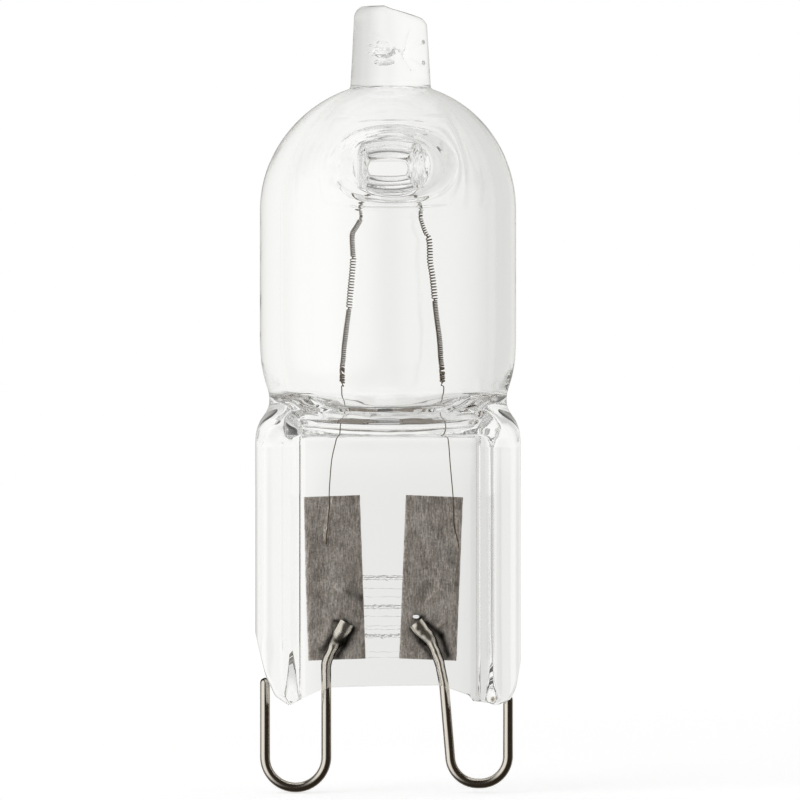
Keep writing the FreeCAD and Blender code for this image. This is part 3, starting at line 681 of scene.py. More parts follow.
def rowNear(rows, level):
    return min(range(len(rows)), key=lambda row: abs(rows[row][0] - level))


def pressedSkin(rows, finish, outward, sizes, pressed, wall, shares):
    # the rows as a skin, closed at foot and top and pressed in at front and back; gives the last rings too
    columns, (low, high, half) = sizes["columns"], pressed["hole"]
    hole = (rowNear(rows, low), rowNear(rows, high), half)
    points, faces = gridSkin(rows, finish, outward, hole, columns)
    closeFoot(points, faces, outward, columns, sizes["footSteps"])
    closeTop(points, faces, outward, columns, len(rows) - 1)
    lips = pressed["lipRings"]
    shapes = [lipShape(step / lips, pressed, wall) for step in range(1, lips + 1)]
    shapes += [funnelShape(share, pressed, wall) for share in shares]
    ends = []
    for middle, side in ((columns // 4, -1), (columns * 3 // 4, 1)):
        rim = holeRim(hole, middle, columns)
        ends.append((rim, pressedRings(points, faces, rim, side, outward, shapes)))
    return points, faces, hole, ends


def outsideSkin():
    points, faces, hole, ends = pressedSkin(
        outsideRows(), finishOutside, True, quartz, dimple, 0.0, funnelShares(dimple))
    for (rim, ring), side in zip(ends, (-1, 1)):
        closeFloor(points, faces, ring, hole, side)
    return points, faces


# Inside of the bulb, with the glass post that joins its front and back walls

cavity = {
    "columns": 144,
    "footSteps": 6,
    "radius": 5.5,
    "wall": 1.0,  # measured level with the ground, so that the view through the dome stays straight
    "domeTop": 35.78,
    "floorLevel": 18.86,
    "floorSag": 0.3,
    "floorHalfWidth": 4.4,
    "floorHalfDepth": 0.55,
    "floorRound": 0.3,
    "boxFrom": 19.7,
    "cornerPlay": 0.02,
    "shoulderRows": ((20.5, 0.07), (23.3, 0.13)),
    "tubeRows": ((28.15, 0.3), (29.15, 0.18)),
    "domeSteps": 48,
    "ceilingShares": (0.97, 0.75, 0.45, 0.2),
    "lowTo": 1.6,  # the floor's sag and waves fade out this far above it
    "floorWave": 0.03,
    "waveTo": 22.5,
    "waveFade": 3.0,
    "waveDepth": 0.02,
    # half depth and half width by height, an even wall's thickness inside the outside
    "depthLine": ((18.9, 0.55), (19.08, 1.1), (19.27, 1.85), (19.52, 2.75), (19.88, 3.68), (20.52, 4.7),
                  (21.2, 5.23), (21.85, 5.44), (22.6, 5.5), (23.1, 5.5), (23.5, 5.5)),
    "widthLine": ((18.9, 4.4), (19.3, 4.62), (19.8, 4.9), (20.4, 5.18), (21.0, 5.34),
                  (21.6, 5.42), (22.2, 5.47), (22.8, 5.49), (23.3, 5.5), (23.5, 5.5)),
}

post = {
    "hole": (28.9, 33.9, 19),
    "centre": (0.13, 31.5),
    "mouthCentre": (0.2, 31.6),
    "mouthHalf": (2.6, 1.9),
    "stepHalf": (1.62, 1.56),
    "stepAt": 0.25,
    "floorHalf": (1.52, 1.48),
    "floorDepth": 0.0,
    "sinkLine": ((0.0, 1.0), (0.1, 0.73), (0.25, 0.42), (0.5, 0.125), (0.75, 0.016), (1.0, 0.0)),
    "floorRoundness": 0.5,
    "mouthRoundness": 1.0,
    "lipRings": 8,
    "funnelRings": 30,
    "ripples": 3.0,
    "rippleDepth": 0.012,
    "wallRipples": 0.0,
    "wallRipple": 0.0,
}


def cavityRows():
    halfDepth, play = cavity["floorHalfDepth"], cavity["cornerPlay"]
    rows = edgeRows(cavity["floorLevel"], cavity["floorRound"], cavity["floorHalfWidth"],
                    halfDepth, halfDepth - play)
    start = rows[-1][0]
    for level in climb(start, cavity["shoulderRows"]):
        closing = min(max((cavity["boxFrom"] - level) / (cavity["boxFrom"] - start), 0.0), 1.0)
        depth = roundedLine(cavity["depthLine"], level)
        rows.append((level, roundedLine(cavity["widthLine"], level), depth, min(halfDepth, depth) - play,
                     closing ** 2, 0))
    rows += [roundRow(level, cavity["radius"], 0) for level in climb(rows[-1][0], cavity["tubeRows"])]
    domeRise = cavity["domeTop"] - quartz["domeLevel"]
    ceiling = math.sqrt(quartz["bulbRadius"] ** 2 - domeRise ** 2) - cavity["wall"]
    for step in range(cavity["domeSteps"]):
        share = step / cavity["domeSteps"]
        radius = between(cavity["radius"], ceiling, math.sqrt(ease(share) * share))
        rise = math.sqrt(quartz["bulbRadius"] ** 2 - (radius + cavity["wall"]) ** 2)
        rows.append(roundRow(quartz["domeLevel"] + rise, radius, quartz["tipShift"] * share))
    return rows + [roundRow(cavity["domeTop"], ceiling * share, quartz["tipShift"])
                   for share in cavity["ceilingShares"]]


def finishInside(x, y, z):
    low = 1 - ease((z - cavity["floorLevel"]) / cavity["lowTo"])
    z += cavity["floorSag"] * (x / cavity["floorHalfWidth"]) ** 2 * low
    fade = ease((cavity["waveTo"] - z) / cavity["waveFade"])
    wave = noise.noise(Vector((x * 0.9 + 7, y * 0.9, z * 1.7))) * cavity["waveDepth"] * fade
    uneven = noise.noise(Vector((x * 1.3, y * 2 + 3, z))) * cavity["floorWave"] * low
    return x, y * (1 + wave / max(abs(y), 0.6)), z + uneven


def insideSkin():
    # the last rings stop short of the middle, where the two halves of the post meet
    points, faces, hole, ends = pressedSkin(
        cavityRows(), finishInside, False, cavity, post, cavity["wall"], funnelShares(post)[:-1])
    (frontRim, frontRing), (backRim, backRing) = ends
    # each point of the front ring is joined to the one at the same place behind it
    behind = {(round(-p, 4), round(q, 4)): index for (vertex, p, q), index in zip(backRim, backRing)}
    count = len(frontRim)
    for step in range(count):
        after = (step + 1) % count
        matches = [behind[round(frontRim[at][1], 4), round(frontRim[at][2], 4)] for at in (after, step)]
        faces.append([frontRing[step], frontRing[after], *matches][::-1])
    return points, faces


# Gas bubbles shut in the drawn-off tip: one large flat one, lumps beside it and a cloud of small ones

bubbles = {
    # centre, half sizes, lumpiness, rings
    "large": (((-0.15, -1.0, 37.0), (0.46, 0.3, 0.19), 0.06, 20),
              ((-0.1, 0.1, 37.5), (0.42, 0.3, 0.26), 0.14, 14),
              ((0.62, -0.2, 37.35), (0.12, 0.25, 0.36), 0.16, 14),
              ((0.8, 0.1, 37.7), (0.1, 0.2, 0.26), 0.16, 12)),
    "small": 30,
    "smallCentre": (-0.2, -0.3, 37.65),
    "smallReach": (0.55, 0.5, 0.3),
    "smallRadius": (0.025, 0.06),
    "smallStretch": 1.4,
    "smallRings": 7,
    "lumpScale": 2.2,
    "seed": 4,
}


def bubbleSkin(centre, halfSizes, lumps, rings):
    points, faces = [], []
    columns = rings * 3 // 2
    for ring in range(1, rings):
        tilt = math.pi * ring / rings
        for column in range(columns):
            turn = 2 * math.pi * column / columns
            way = Vector((math.sin(tilt) * math.cos(turn), math.sin(tilt) * math.sin(turn), -math.cos(tilt)))
            reach = 1 + lumps * noise.noise(way * bubbles["lumpScale"] + Vector(centre))
            points.append(tuple(c + w * h * reach for c, w, h in zip(centre, way, halfSizes)))
    for ring in range(rings - 2):
        for column in range(columns):
            near = (column + 1) % columns
            faces.append([ring * columns + column, (ring + 1) * columns + column,
                          (ring + 1) * columns + near, ring * columns + near])
    for up, row in ((-1, 0), (1, rings - 2)):
        points.append((centre[0], centre[1], centre[2] + up * halfSizes[2]))
        for column in range(columns):
            corner = [row * columns + column, row * columns + (column + 1) % columns, len(points) - 1]
            faces.append(corner if up < 0 else corner[::-1])
    return points, faces


def allBubbles():
    chance = random.Random(bubbles["seed"])
    skins = [bubbleSkin(*bubble) for bubble in bubbles["large"]]
    for number in range(bubbles["small"]):
        way = Vector([chance.uniform(-1, 1) for axis in range(3)])
        centre = [c + w * r for c, w, r in zip(bubbles["smallCentre"], way, bubbles["smallReach"])]
        radius = chance.uniform(*bubbles["smallRadius"])
        halfSizes = (radius * bubbles["smallStretch"], radius, radius)
        skins.append(bubbleSkin(centre, halfSizes, 0.0, bubbles["smallRings"]))
    return skins


def addEnvelope():
    points, faces = [], []
    for skinPoints, skinFaces in [outsideSkin(), insideSkin()] + allBubbles():
        start = len(points)
        points += skinPoints
        faces += [[start + corner for corner in face] for face in skinFaces]
    piece = addPiece("quartzCapsule", points, faces, fusedQuartz())
    piece.visible_shadow = False  # clear glass lets the light through to what it holds
    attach(piece, "root")
    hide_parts("quartz_envelope")
    print("quartz capsule:", len(faces), "faces")


addEnvelope()

# Geometry Nodes: trees that turn drawn lines into wires and ribs


def newTree(name, inputs):
    # a tree whose inputs are the drawn lines, given as curves, and one socket for each of these values
    tree = bpy.data.node_groups.new(name, "GeometryNodeTree")
    tree.interface.new_socket("Geometry", in_out="OUTPUT", socket_type="NodeSocketGeometry")
    tree.interface.new_socket("Geometry", in_out="INPUT", socket_type="NodeSocketGeometry")
    for label, value in inputs.items():
        kind = {int: "Int", float: "Float"}.get(type(value), "Material")
        tree.interface.new_socket(label, in_out="INPUT", socket_type="NodeSocket" + kind)
    given = addNode(tree, "NodeGroupInput").outputs
    return tree, given, shapeNode(tree, "MeshToCurve", given["Geometry"])


def shapeNode(tree, kind, geometry, sockets=None, settings=None):
    # the geometry goes in at the node's first socket and comes out at its first
    return addNode(tree, "GeometryNode" + kind, settings, {0: geometry, **(sockets or {})}).outputs[0]


def fact(tree, kind, result=0):
    return addNode(tree, "GeometryNode" + kind).outputs[result]


def named(tree, name, kind="FLOAT"):
    node = addNode(tree, "GeometryNodeInputNamedAttribute", {"data_type": kind}, {"Name": name})
    return node.outputs["Attribute"]


def rodAlong(tree, curve, sides, radius, scale=1.0):
    # a round rod with closed ends
    ring = addNode(tree, "GeometryNodeCurvePrimitiveCircle", None, {"Resolution": sides, "Radius": radius})
    return shapeNode(tree, "CurveToMesh", curve, {
        "Profile Curve": ring.outputs[0], "Scale": scale, "Fill Caps": True})


def finishTree(tree, mesh, material):
    realized = shapeNode(tree, "RealizeInstances", shapeNode(tree, "SetShadeSmooth", mesh))
    painted = shapeNode(tree, "SetMaterial", realized, {"Material": material})
    addNode(tree, "NodeGroupOutput", None, {"Geometry": painted})
    return tree


def addGrown(name, lines, facts, tree, inputs):
    # lines of points go through a tree and come back as one plain mesh; facts are numbers kept on each line
    points, edges, values = [], [], {label: [] for label in facts}
    for number, line in enumerate(lines):
        start = len(points)
        points += [Vector(point) * mm for point in line]
        edges += [(start + step, start + step + 1) for step in range(len(line) - 1)]
        for label in facts:
            given = facts[label][number]
            values[label] += given if isinstance(given, list) else [given] * len(line)
    mesh = bpy.data.meshes.new(name + "Lines")
    mesh.from_pydata(points, edges, [])
    for label in facts:
        mesh.attributes.new(label, "FLOAT", "POINT").data.foreach_set("value", values[label])
    holder = addObject(name + "Lines", mesh)
    modifier = holder.modifiers.new("growing", "NODES")
    modifier.node_group = tree
    for item in tree.interface.items_tree:
        if item.in_out == "INPUT" and item.name in inputs:
            modifier[item.identifier] = inputs[item.name]
    grown = bpy.data.meshes.new_from_object(holder.evaluated_get(bpy.context.evaluated_depsgraph_get()))
    grown.name = name
    bpy.data.objects.remove(holder)
    bpy.data.meshes.remove(mesh)
    piece = addObject(name, grown)
    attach(piece, "root")
    print(name + ":", len(grown.polygons), "faces")
    return piece


# Pins: drawn nickel-plated wire, satin, bent to a loop, its upper end flattened and welded to the foil

pinFinish = {
    "colour": "#efe9df",
    "darkColour": "#d3ccc0",
    "roughness": 0.16,
    "drawWidth": 0.05,  # drawing lines along the wire
    "drawLength": 3.0,
    "lineDepth": 0.004,
    "lineStrength": 0.4,
    # painted shade: inside the glass, where the quartz grips the wire, all but its front is painted near
    # black, so that it shows dark edges
    "flankShadeColour": "#1d1a17",
    "gripFrom": 5.45,
    "gripTo": 5.75,
    "flankFrom": -0.5,
    "flankTo": -0.42,
    "flatFrom": 7.6,  # the welded end is thinner, so its flanks start further back
    "flatTo": 8.2,
    "flatShift": 0.12,
}

pins = {
    "wire": 0.5,
    "plane": -0.295,
    "step": 0.07,
    "sides": 20,
    "bendSteps": 18,
    "endFullness": 0.12,
    "flatFade": 1.7,
    "flatLength": 0.95,
    "wide": 0.5,  # the flattened end is this share wider and thinner
    "thin": 0.42,
    "dentFrom": 5.5,  # inside the glass the wire is pinched and uneven
    "dentTo": 6.6,
    "dentDepth": 0.1,
    "dentSize": 0.55,
    # from the welded end to the free end: across, up, bend radius
    "left": ((-2.08, 8.62, 0), (-2.36, 8.1, 0.7), (-2.7, 7.55, 0.8), (-3.13, 6.6, 1.0), (-3.13, 0.25, 1.555),
             (-6.24, 0.25, 1.555), (-6.24, 5.82, 0)),
    "right": ((1.42, 8.62, 0), (1.78, 8.12, 0.7), (2.22, 7.6, 0.8), (2.62, 6.6, 1.0), (2.85, 5.42, 2.0),
              (3.27, 0.45, 1.4), (6.09, 0.45, 1.4), (6.09, 4.95, 0)),
}


def drawnNickelWire():
    # satin nickel plate: a broad soft light along the wire, drawing lines that only just break it up
    material, tree = emptyMaterial("drawnNickelWire")
    place = objectPlace(tree)
    parts = apart(tree, place)
    along = stretched(tree, place, pinFinish["drawWidth"], pinFinish["drawLength"])
    lines = speckle(tree, along, 1.0, 2.0)
    colour = mixed(tree, lines, pinFinish["darkColour"], pinFinish["colour"])
    # painted shade: inside the glass all but the front of the wire is darkened, giving it dark edges
    thinner = ramped(tree, parts["Z"], pinFinish["flatFrom"] * mm, pinFinish["flatTo"] * mm,
                     0.0, pinFinish["flatShift"] * mm, False)
    depth = calculate(tree, "SUBTRACT", parts["Y"], thinner)
    flank = ramped(tree, depth, pinFinish["flankFrom"] * mm, pinFinish["flankTo"] * mm)
    gripped = ramped(tree, parts["Z"], pinFinish["gripFrom"] * mm, pinFinish["gripTo"] * mm)
    flankShaded = mixed(tree, product(tree, flank, gripped), colour, pinFinish["flankShadeColour"])
    lift = raised(tree, lines, pinFinish["lineDepth"], pinFinish["lineStrength"])
    return finishMaterial(material, metal(tree, flankShaded, pinFinish["roughness"], Normal=lift))


def bentWireTree(inputs):
    tree, given, curve = newTree("bentWire", inputs)
    bent = shapeNode(tree, "FilletCurve", curve, {
        "Radius": named(tree, "bend"), "Limit Radius": True, "Count": pins["bendSteps"]}, {"mode": "POLY"})
    even = shapeNode(tree, "ResampleCurve", bent, {"Length": given["Step"]}, {"mode": "LENGTH"})
    along, length = fact(tree, "SplineParameter", "Length"), fact(tree, "SplineLength", "Length")
    radius = product(tree, given["Wire"], 0.5)
    # the free end is rounded: a quarter circle over the last half wire
    left = calculate(tree, "DIVIDE", calculate(tree, "SUBTRACT", length, along), radius)
    inset = calculate(tree, "SUBTRACT", 1.0, calculate(tree, "MINIMUM", left, 1.0))
    scale = calculate(tree, "SQRT", calculate(tree, "SUBTRACT", 1.0, product(tree, inset, inset)))
    fullness = calculate(tree, "MAXIMUM", scale, pins["endFullness"])
    # the welded end is flattened, and fades back to round wire
    flatEnd = product(tree, given["Flat Length"], pins["flatFade"])
    flat, place = ramped(tree, along, given["Flat Length"], flatEnd, 1.0, 0.0), fact(tree, "InputPosition")
    for label, kind, value in (("flat", "FLOAT", flat), ("centre", "FLOAT_VECTOR", place)):
        even = shapeNode(tree, "StoreNamedAttribute", even, {"Name": label, "Value": value}, {
            "data_type": kind, "domain": "POINT"})
    wire = rodAlong(tree, even, given["Sides"], radius, fullness)
    out = vectorMath(tree, "SUBTRACT", place, named(tree, "centre", "FLOAT_VECTOR"))
    grow = addNode(tree, "ShaderNodeCombineXYZ", None, {
        "X": given["Wide"], "Y": product(tree, given["Thin"], -1.0), "Z": given["Wide"]}).outputs[0]
    flattened = vectorMath(tree, "SCALE", vectorMath(tree, "MULTIPLY", out, grow), named(tree, "flat"))
    # it is uneven inside the glass
    inGlass = ramped(tree, apart(tree, place)["Z"], given["Dent From"], given["Dent To"])
    lumps = calculate(tree, "SUBTRACT", speckle(tree, place, given["Dent Size"], 1.0), 0.5)
    depth = product(tree, lumps, inGlass, given["Dent Depth"])
    dent = vectorMath(tree, "SCALE", fact(tree, "InputNormal"), depth)
    moved = shapeNode(tree, "SetPosition", wire, {"Offset": vectorMath(tree, "ADD", flattened, dent)})
    return finishTree(tree, moved, given["Material"])


def addPins():
    inputs = {"Wide": pins["wide"], "Thin": pins["thin"], "Sides": pins["sides"],
              "Material": drawnNickelWire()}
    inputs.update({label: pins[size] * mm for label, size in (
        ("Wire", "wire"), ("Step", "step"), ("Flat Length", "flatLength"), ("Dent From", "dentFrom"),
        ("Dent To", "dentTo"), ("Dent Depth", "dentDepth"), ("Dent Size", "dentSize"))})
    tree = bentWireTree(inputs)
    for side, nodeName in (("left", "contact_pin_left"), ("right", "contact_pin_right")):
        line = [(x, pins["plane"], z) for x, z, bend in pins[side]]
        bends = [[bend * mm for x, z, bend in pins[side]]]
        piece = addGrown(side + "Pin", [line], {"bend": bends}, tree, inputs)
        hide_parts(nodeName)


addPins()

# Filament: drawn and wound tungsten, dark brown-grey, open turns above and close turns below

filamentFinish = {
    "colour": "#92836f",
    "darkColour": "#5f5343",
    "roughness": 0.45,
    "mottle": 0.3,
}

filament = {
    "wire": 0.06,
    "coil": 0.275,
    "plane": -0.081,
    "turnSteps": 12,
    "sides": 6,
    "easeTurns": 0.3,
    "resolution": 10,
    "secondClimb": 0.3,
    "leftClimb": 1.3,  # 0 is an even winding
    "postCentre": (0.13, 31.5),
    "postRide": 1.567,  # the bridge wire lies on the glass post
    # runs of the winding from the foil up: pitch, coil diameter as a share, points across and up
    "left": (
        (0.2, 0, ((-3.128, 12.59), (-3.113, 13.2), (-3.067, 13.41), (-3.037, 13.91),
                  (-2.981, 14.47), (-2.981, 15.13), (-2.95, 15.74), (-2.854, 16.86), (-2.656, 17.77),
                  (-2.463, 18.64), (-2.417, 19.4), (-2.395, 21.0), (-2.32, 21.15), (-2.35, 21.3))),
        (0.083, 1.05, ((-2.35, 21.3), (-2.31, 21.7), (-2.265, 22.14), (-2.184, 22.95), (-2.097, 23.71),
                       (-1.99, 24.53))),
        (0.15, 1.3, ((-1.99, 24.53), (-1.899, 25.44), (-1.828, 26.25), (-1.762, 27.15))),
        (0.088, 1.05, ((-1.762, 27.15), (-1.8, 27.7), (-1.818, 28.03), (-1.793, 28.39), (-1.574, 28.74),
                       (-1.4, 29.1))),
        (0.1, 0.55, ((-1.4, 29.1), (-1.375, 29.4), (-1.381, 29.76))),
    ),
    "right": (
        (0.2, 0, ((3.585, 12.44), (3.504, 12.9), (3.352, 13.51), (3.326, 14.22), (3.301, 14.98),
                  (3.275, 15.34), (3.169, 16.5), (3.026, 18.05), (2.732, 18.43),
                  (2.93, 19.12), (2.839, 19.91), (2.85, 21.0), (2.73, 21.2), (2.76, 21.33))),
        (0.083, 1.05, ((2.76, 21.33), (2.696, 22.04), (2.61, 22.95), (2.463, 24.07), (2.377, 24.98))),
        (0.15, 1.25, ((2.377, 24.98), (2.26, 26.15), (2.138, 26.91), (2.123, 27.62), (2.092, 28.03),
                      (1.996, 28.23))),
        (0.12, 0.8, ((1.996, 28.23), (1.859, 28.49), (1.727, 28.87), (1.655, 29.2), (1.64, 29.66))),
    ),
    "bridgeFeet": (((-1.381, 29.76), (-1.42, 30.2)), ((1.66, 30.15), (1.64, 29.66))),
    "bridgeSteps": 16,
    "bridgeArc": (1.08, -0.08),  # half turns
    "bridgeWinding": (0.11, 0.5),
}


def woundTungsten():
    # drawn tungsten: dark, slightly brown where it has been hot
    material, tree = emptyMaterial("woundTungstenWire")
    tone = speckle(tree, objectPlace(tree), filamentFinish["mottle"] * mm, 2.0)
    colour = mixed(tree, tone, filamentFinish["darkColour"], filamentFinish["colour"])
    return finishMaterial(material, metal(tree, colour, filamentFinish["roughness"]))


def woundWireTree(inputs):
    tree, given, curve = newTree("woundWire", inputs)
    smooth = shapeNode(tree, "CurveSplineType", curve, None, {"spline_type": "CATMULL_ROM"})
    fine = shapeNode(tree, "SetSplineResolution", smooth, {"Resolution": filament["resolution"]})
    pitch = named(tree, "pitch")
    turns = calculate(tree, "ROUND", calculate(tree, "DIVIDE", fact(tree, "SplineLength", "Length"), pitch))
    count = calculate(tree, "ADD", product(tree, turns, given["Turn Steps"]), 1.0)
    even = shapeNode(tree, "ResampleCurve", fine, {"Count": count}, {"mode": "COUNT"})
    # how many turns a point has behind it, and how far the winding has opened near the ends of its run
    turn = calculate(tree, "DIVIDE", fact(tree, "SplineParameter", "Index"), given["Turn Steps"])
    factor = calculate(tree, "MAXIMUM", fact(tree, "SplineParameter", "Factor"), 0.000001)
    rest = calculate(tree, "SUBTRACT", calculate(tree, "DIVIDE", turn, factor), turn)
    nearEnd = calculate(tree, "MINIMUM", turn, rest)
    full = calculate(tree, "MINIMUM", calculate(tree, "DIVIDE", nearEnd, given["Ease Turns"]), 1.0)
    angle = product(tree, turn, 2 * math.pi)
    tangent, sine = fact(tree, "InputTangent"), calculate(tree, "SINE", angle)
    across = vectorMath(tree, "NORMALIZE", vectorMath(tree, "CROSS_PRODUCT", tangent, (0, 1, 0)))
    outWay = vectorMath(tree, "ADD", vectorMath(tree, "SCALE", across, calculate(tree, "COSINE", angle)),
                        vectorMath(tree, "MULTIPLY", (0, 1, 0), sine))
    half = product(tree, calculate(tree, "SUBTRACT", given["Coil"], given["Wire"]), 0.5)
    reach = product(tree, half, full, named(tree, "share"))
    # each turn lies nearly level and climbs on its left side, where the climbs show as one dark line
    second = product(tree, calculate(tree, "SINE", product(tree, angle, 2.0)), filament["secondClimb"])
    rise = calculate(tree, "MULTIPLY_ADD", sine, given["Left Climb"], second)
    lift = product(tree, rise, pitch, full, 1 / (2 * math.pi))
    shifted = vectorMath(tree, "ADD", vectorMath(tree, "SCALE", outWay, reach),
                         vectorMath(tree, "SCALE", tangent, lift))
    wound = shapeNode(tree, "SetPosition", even, {"Offset": shifted})
    wire = rodAlong(tree, wound, given["Sides"], product(tree, given["Wire"], 0.5))
    return finishTree(tree, wire, given["Material"])


def addFilament():
    runs = [run for side in ("left", "right") for run in filament[side]]
    (middle, level), ride = filament["postCentre"], filament["postRide"]
    leftFoot, rightFoot = filament["bridgeFeet"]
    bridge = []
    for step in range(filament["bridgeSteps"] + 1):
        angle = math.pi * between(*filament["bridgeArc"], step / filament["bridgeSteps"])
        bridge.append((middle + ride * math.cos(angle), level + ride * math.sin(angle)))
    runs.append((*filament["bridgeWinding"], (*leftFoot, *bridge, *rightFoot)))
    lines = [[(x, filament["plane"], z) for x, z in points] for pitch, share, points in runs]
    facts = {"pitch": [pitch * mm for pitch, share, points in runs],
             "share": [float(share) for pitch, share, points in runs]}
    inputs = {
        "Wire": filament["wire"] * mm, "Coil": filament["coil"] * mm, "Turn Steps": filament["turnSteps"],
        "Sides": filament["sides"], "Ease Turns": filament["easeTurns"],
        "Left Climb": filament["leftClimb"], "Material": woundTungsten()}
    piece = addGrown("woundFilament", lines, facts, woundWireTree(inputs), inputs)
    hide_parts("filament")


addFilament()

# Foils: rolled and etched molybdenum, thin grey strips with a grain along their length

foilFinish = {
    "tones": ((0.3, "#a0978f"), (0.5, "#cdc4bb"), (0.74, "#fdf7f0")),
    "weldShadeColour": "#0f0c0a",
    "roughness": 0.5,
    "grainWidth": 0.055,  # rolling lines
    "grainLength": 0.35,
    "blotch": 1.1,
    "speck": 0.09,
    "blotchShare": 0.6,
    "grainShare": 1.05,
    "speckShare": 0.4,
    "toneShift": -0.52,
    "etchDepth": 0.016,
    "etchStrength": 0.7,
}

foils = {
    "width": 2.9,
    "length": 8.3,
    "thick": 0.05,
    "edgeThick": 0.012,
    "feather": 0.1,
    "level": 10.89,
    "across": 42,
    "up": 120,
    "unevenDepth": 0.006,
    "edgeWave": 0.012,
    "holeCells": (4, 3),  # half columns and half rows of the grid that the hole takes
    "lipHeight": 0.05,
    "left": {"place": -2.73, "tilt": -2.0, "hole": None,
             # folds pressed into the foil: from, to (across and up from its centre), half width, height
             "folds": (((0.14, 4.15), (-0.06, 3.43), 0.07, 0.05), ((-0.06, 3.43), (-0.37, 1.91), 0.08, 0.06),
                       ((0.1, -0.45), (0.75, -0.85), 0.1, 0.05), ((0.75, -0.85), (1.4, -0.95), 0.16, -0.035),
                       ((0.1, -1.95), (1.1, -2.45), 0.12, 0.05), ((-1.35, 0.6), (-1.2, 1.4), 0.12, 0.03),
                       ((0.5, -2.6), (1.3, -2.4), 0.12, -0.03), ((-0.6, -3.2), (-0.2, -2.2), 0.2, 0.04)),
             # painted shade in the hollows beside the weld, the folds and the hole: from, to (in the lamp),
             # half width, share
             "shades": (((-1.75, 8.3), (-2.2, 7.5), 0.22, 0.97), ((-2.2, 7.5), (-2.55, 6.9), 0.17, 0.9),
                        ((-2.72, 8.72), (-2.1, 8.66), 0.1, 0.9), ((-2.9, 7.8), (-3.28, 7.2), 0.17, 0.7),
                        ((-2.0, 10.1), (-1.3, 9.85), 0.22, 0.45), ((-1.75, 10.6), (-1.3, 9.6), 0.2, 0.25),
                        ((-2.35, 8.9), (-1.85, 8.6), 0.1, 0.3))},
    "right": {"place": 2.19, "tilt": 2.3, "hole": (-0.69, -1.99, 0.17, 0.09),
              "folds": (((1.06, 4.1), (1.2, 3.3), 0.06, 0.04), ((1.2, 3.3), (1.33, 1.6), 0.07, 0.05),
                        ((-0.1, -1.2), (0.5, -0.5), 0.1, 0.04), ((0.5, -0.5), (0.45, 0.2), 0.14, 0.025),
                        ((-1.0, -1.6), (0.9, -1.1), 0.25, -0.025), ((0.2, -2.9), (0.7, -2.2), 0.15, 0.04),
                        ((-0.9, -3.7), (0.4, -3.6), 0.12, 0.03)),
              "shades": (((1.2, 8.3), (1.66, 7.65), 0.13, 0.9), ((1.66, 7.65), (2.2, 6.9), 0.13, 0.8),
                         ((1.95, 8.62), (2.72, 7.95), 0.18, 0.97), ((2.72, 7.95), (3.05, 6.95), 0.18, 0.95),
                         ((1.42, 8.9), (1.74, 8.88), 0.16, 0.95),
                         ((3.0, 12.3), (3.3, 11.6), 0.2, 0.3))},
}


def rolledMolybdenum():
    # etched foil: satin grey with rolling lines, soft blotches and bright specks, with painted shade beside
    # the welds and folds
    material, tree = emptyMaterial("rolledMolybdenumFoil")
    place = objectPlace(tree)
    along = stretched(tree, place, foilFinish["grainWidth"], foilFinish["grainLength"])
    layers = (
        (speckle(tree, place, foilFinish["blotch"] * mm, 3.0, Roughness=0.6), foilFinish["blotchShare"]),
        (speckle(tree, along, 1.0, 4.0, Roughness=0.65), foilFinish["grainShare"]),
        (speckle(tree, place, foilFinish["speck"] * mm, 1.0), foilFinish["speckShare"]))
    tone = foilFinish["toneShift"]
    for layer, share in layers:
        tone = calculate(tree, "MULTIPLY_ADD", layer, share, tone)
    colour = colourRamp(tree, tone, foilFinish["tones"])
    # painted shade in the hollows beside the welds, the folds and the hole, kept on the foil's points
    paintedShade = addNode(tree, "ShaderNodeAttribute", {"attribute_name": "weldShade"}).outputs["Fac"]
    lift = raised(tree, tone, foilFinish["etchDepth"], foilFinish["etchStrength"])
    shaded = mixed(tree, paintedShade, colour, foilFinish["weldShadeColour"])
    return finishMaterial(material, metal(tree, shaded, foilFinish["roughness"], Normal=lift))


def foilRelief(folds, u, v):
    uneven = foils["unevenDepth"] * noise.noise(Vector((u * 1.7, v * 0.9, 3.1)))
    return uneven + sum(high * nearStroke(u, v, start, end, halfWidth)
                        for start, end, halfWidth, high in folds)


def holeBlock(hole):
    # the cells left out for the hole: first and last column, first and last row
    column = round((hole[0] / foils["width"] + 0.5) * foils["across"])
    row = round((hole[1] / foils["length"] + 0.5) * foils["up"])
    columns, rows = foils["holeCells"]
    return column - columns, column + columns, row - rows, row + rows


def roundHole(hole, u, v):
    # the place where the grid round the hole is drawn in to an oval ring, and the height of the lip there
    holeU, holeV, holeHalfU, holeHalfV = hole
    columns, rows = foils["holeCells"]
    p = (u - holeU) / (foils["width"] * columns / foils["across"])
    q = (v - holeV) / (foils["length"] * rows / foils["up"])
    reach, roundness = max(abs(p), abs(q)), math.hypot(p, q)
    if not 0.5 < reach < 2.2:
        return u, v, 0.0
    pull = 1 - ease((reach - 1.0) / 1.2)
    lip = foils["lipHeight"] * math.exp(-((reach - 1.15) / 0.35) ** 2)
    return (between(u, holeU + holeHalfU * reach * p / roundness, pull),
            between(v, holeV + holeHalfV * reach * q / roundness, pull), lip)


def foilPoint(sizes, side, gridU, gridV):
    halfWidth, lean = foils["width"] / 2, math.radians(sizes["tilt"])
    u, v, lip = roundHole(sizes["hole"], gridU, gridV) if sizes["hole"] else (gridU, gridV, 0.0)
    inFromEdge = min(halfWidth - abs(gridU), foils["feather"])
    thick = between(foils["edgeThick"], foils["thick"], inFromEdge / foils["feather"]) / 2
    relief = foilRelief(sizes["folds"], u, v) * ease((halfWidth - abs(u)) / 0.25 + 0.2)
    u += foils["edgeWave"] * noise.noise(Vector((u * 2.5, v * 2.5, side * 0.1 + 9)))
    return (sizes["place"] + u * math.cos(lean) + v * math.sin(lean), side * thick - (relief + lip),
            foils["level"] - u * math.sin(lean) + v * math.cos(lean))


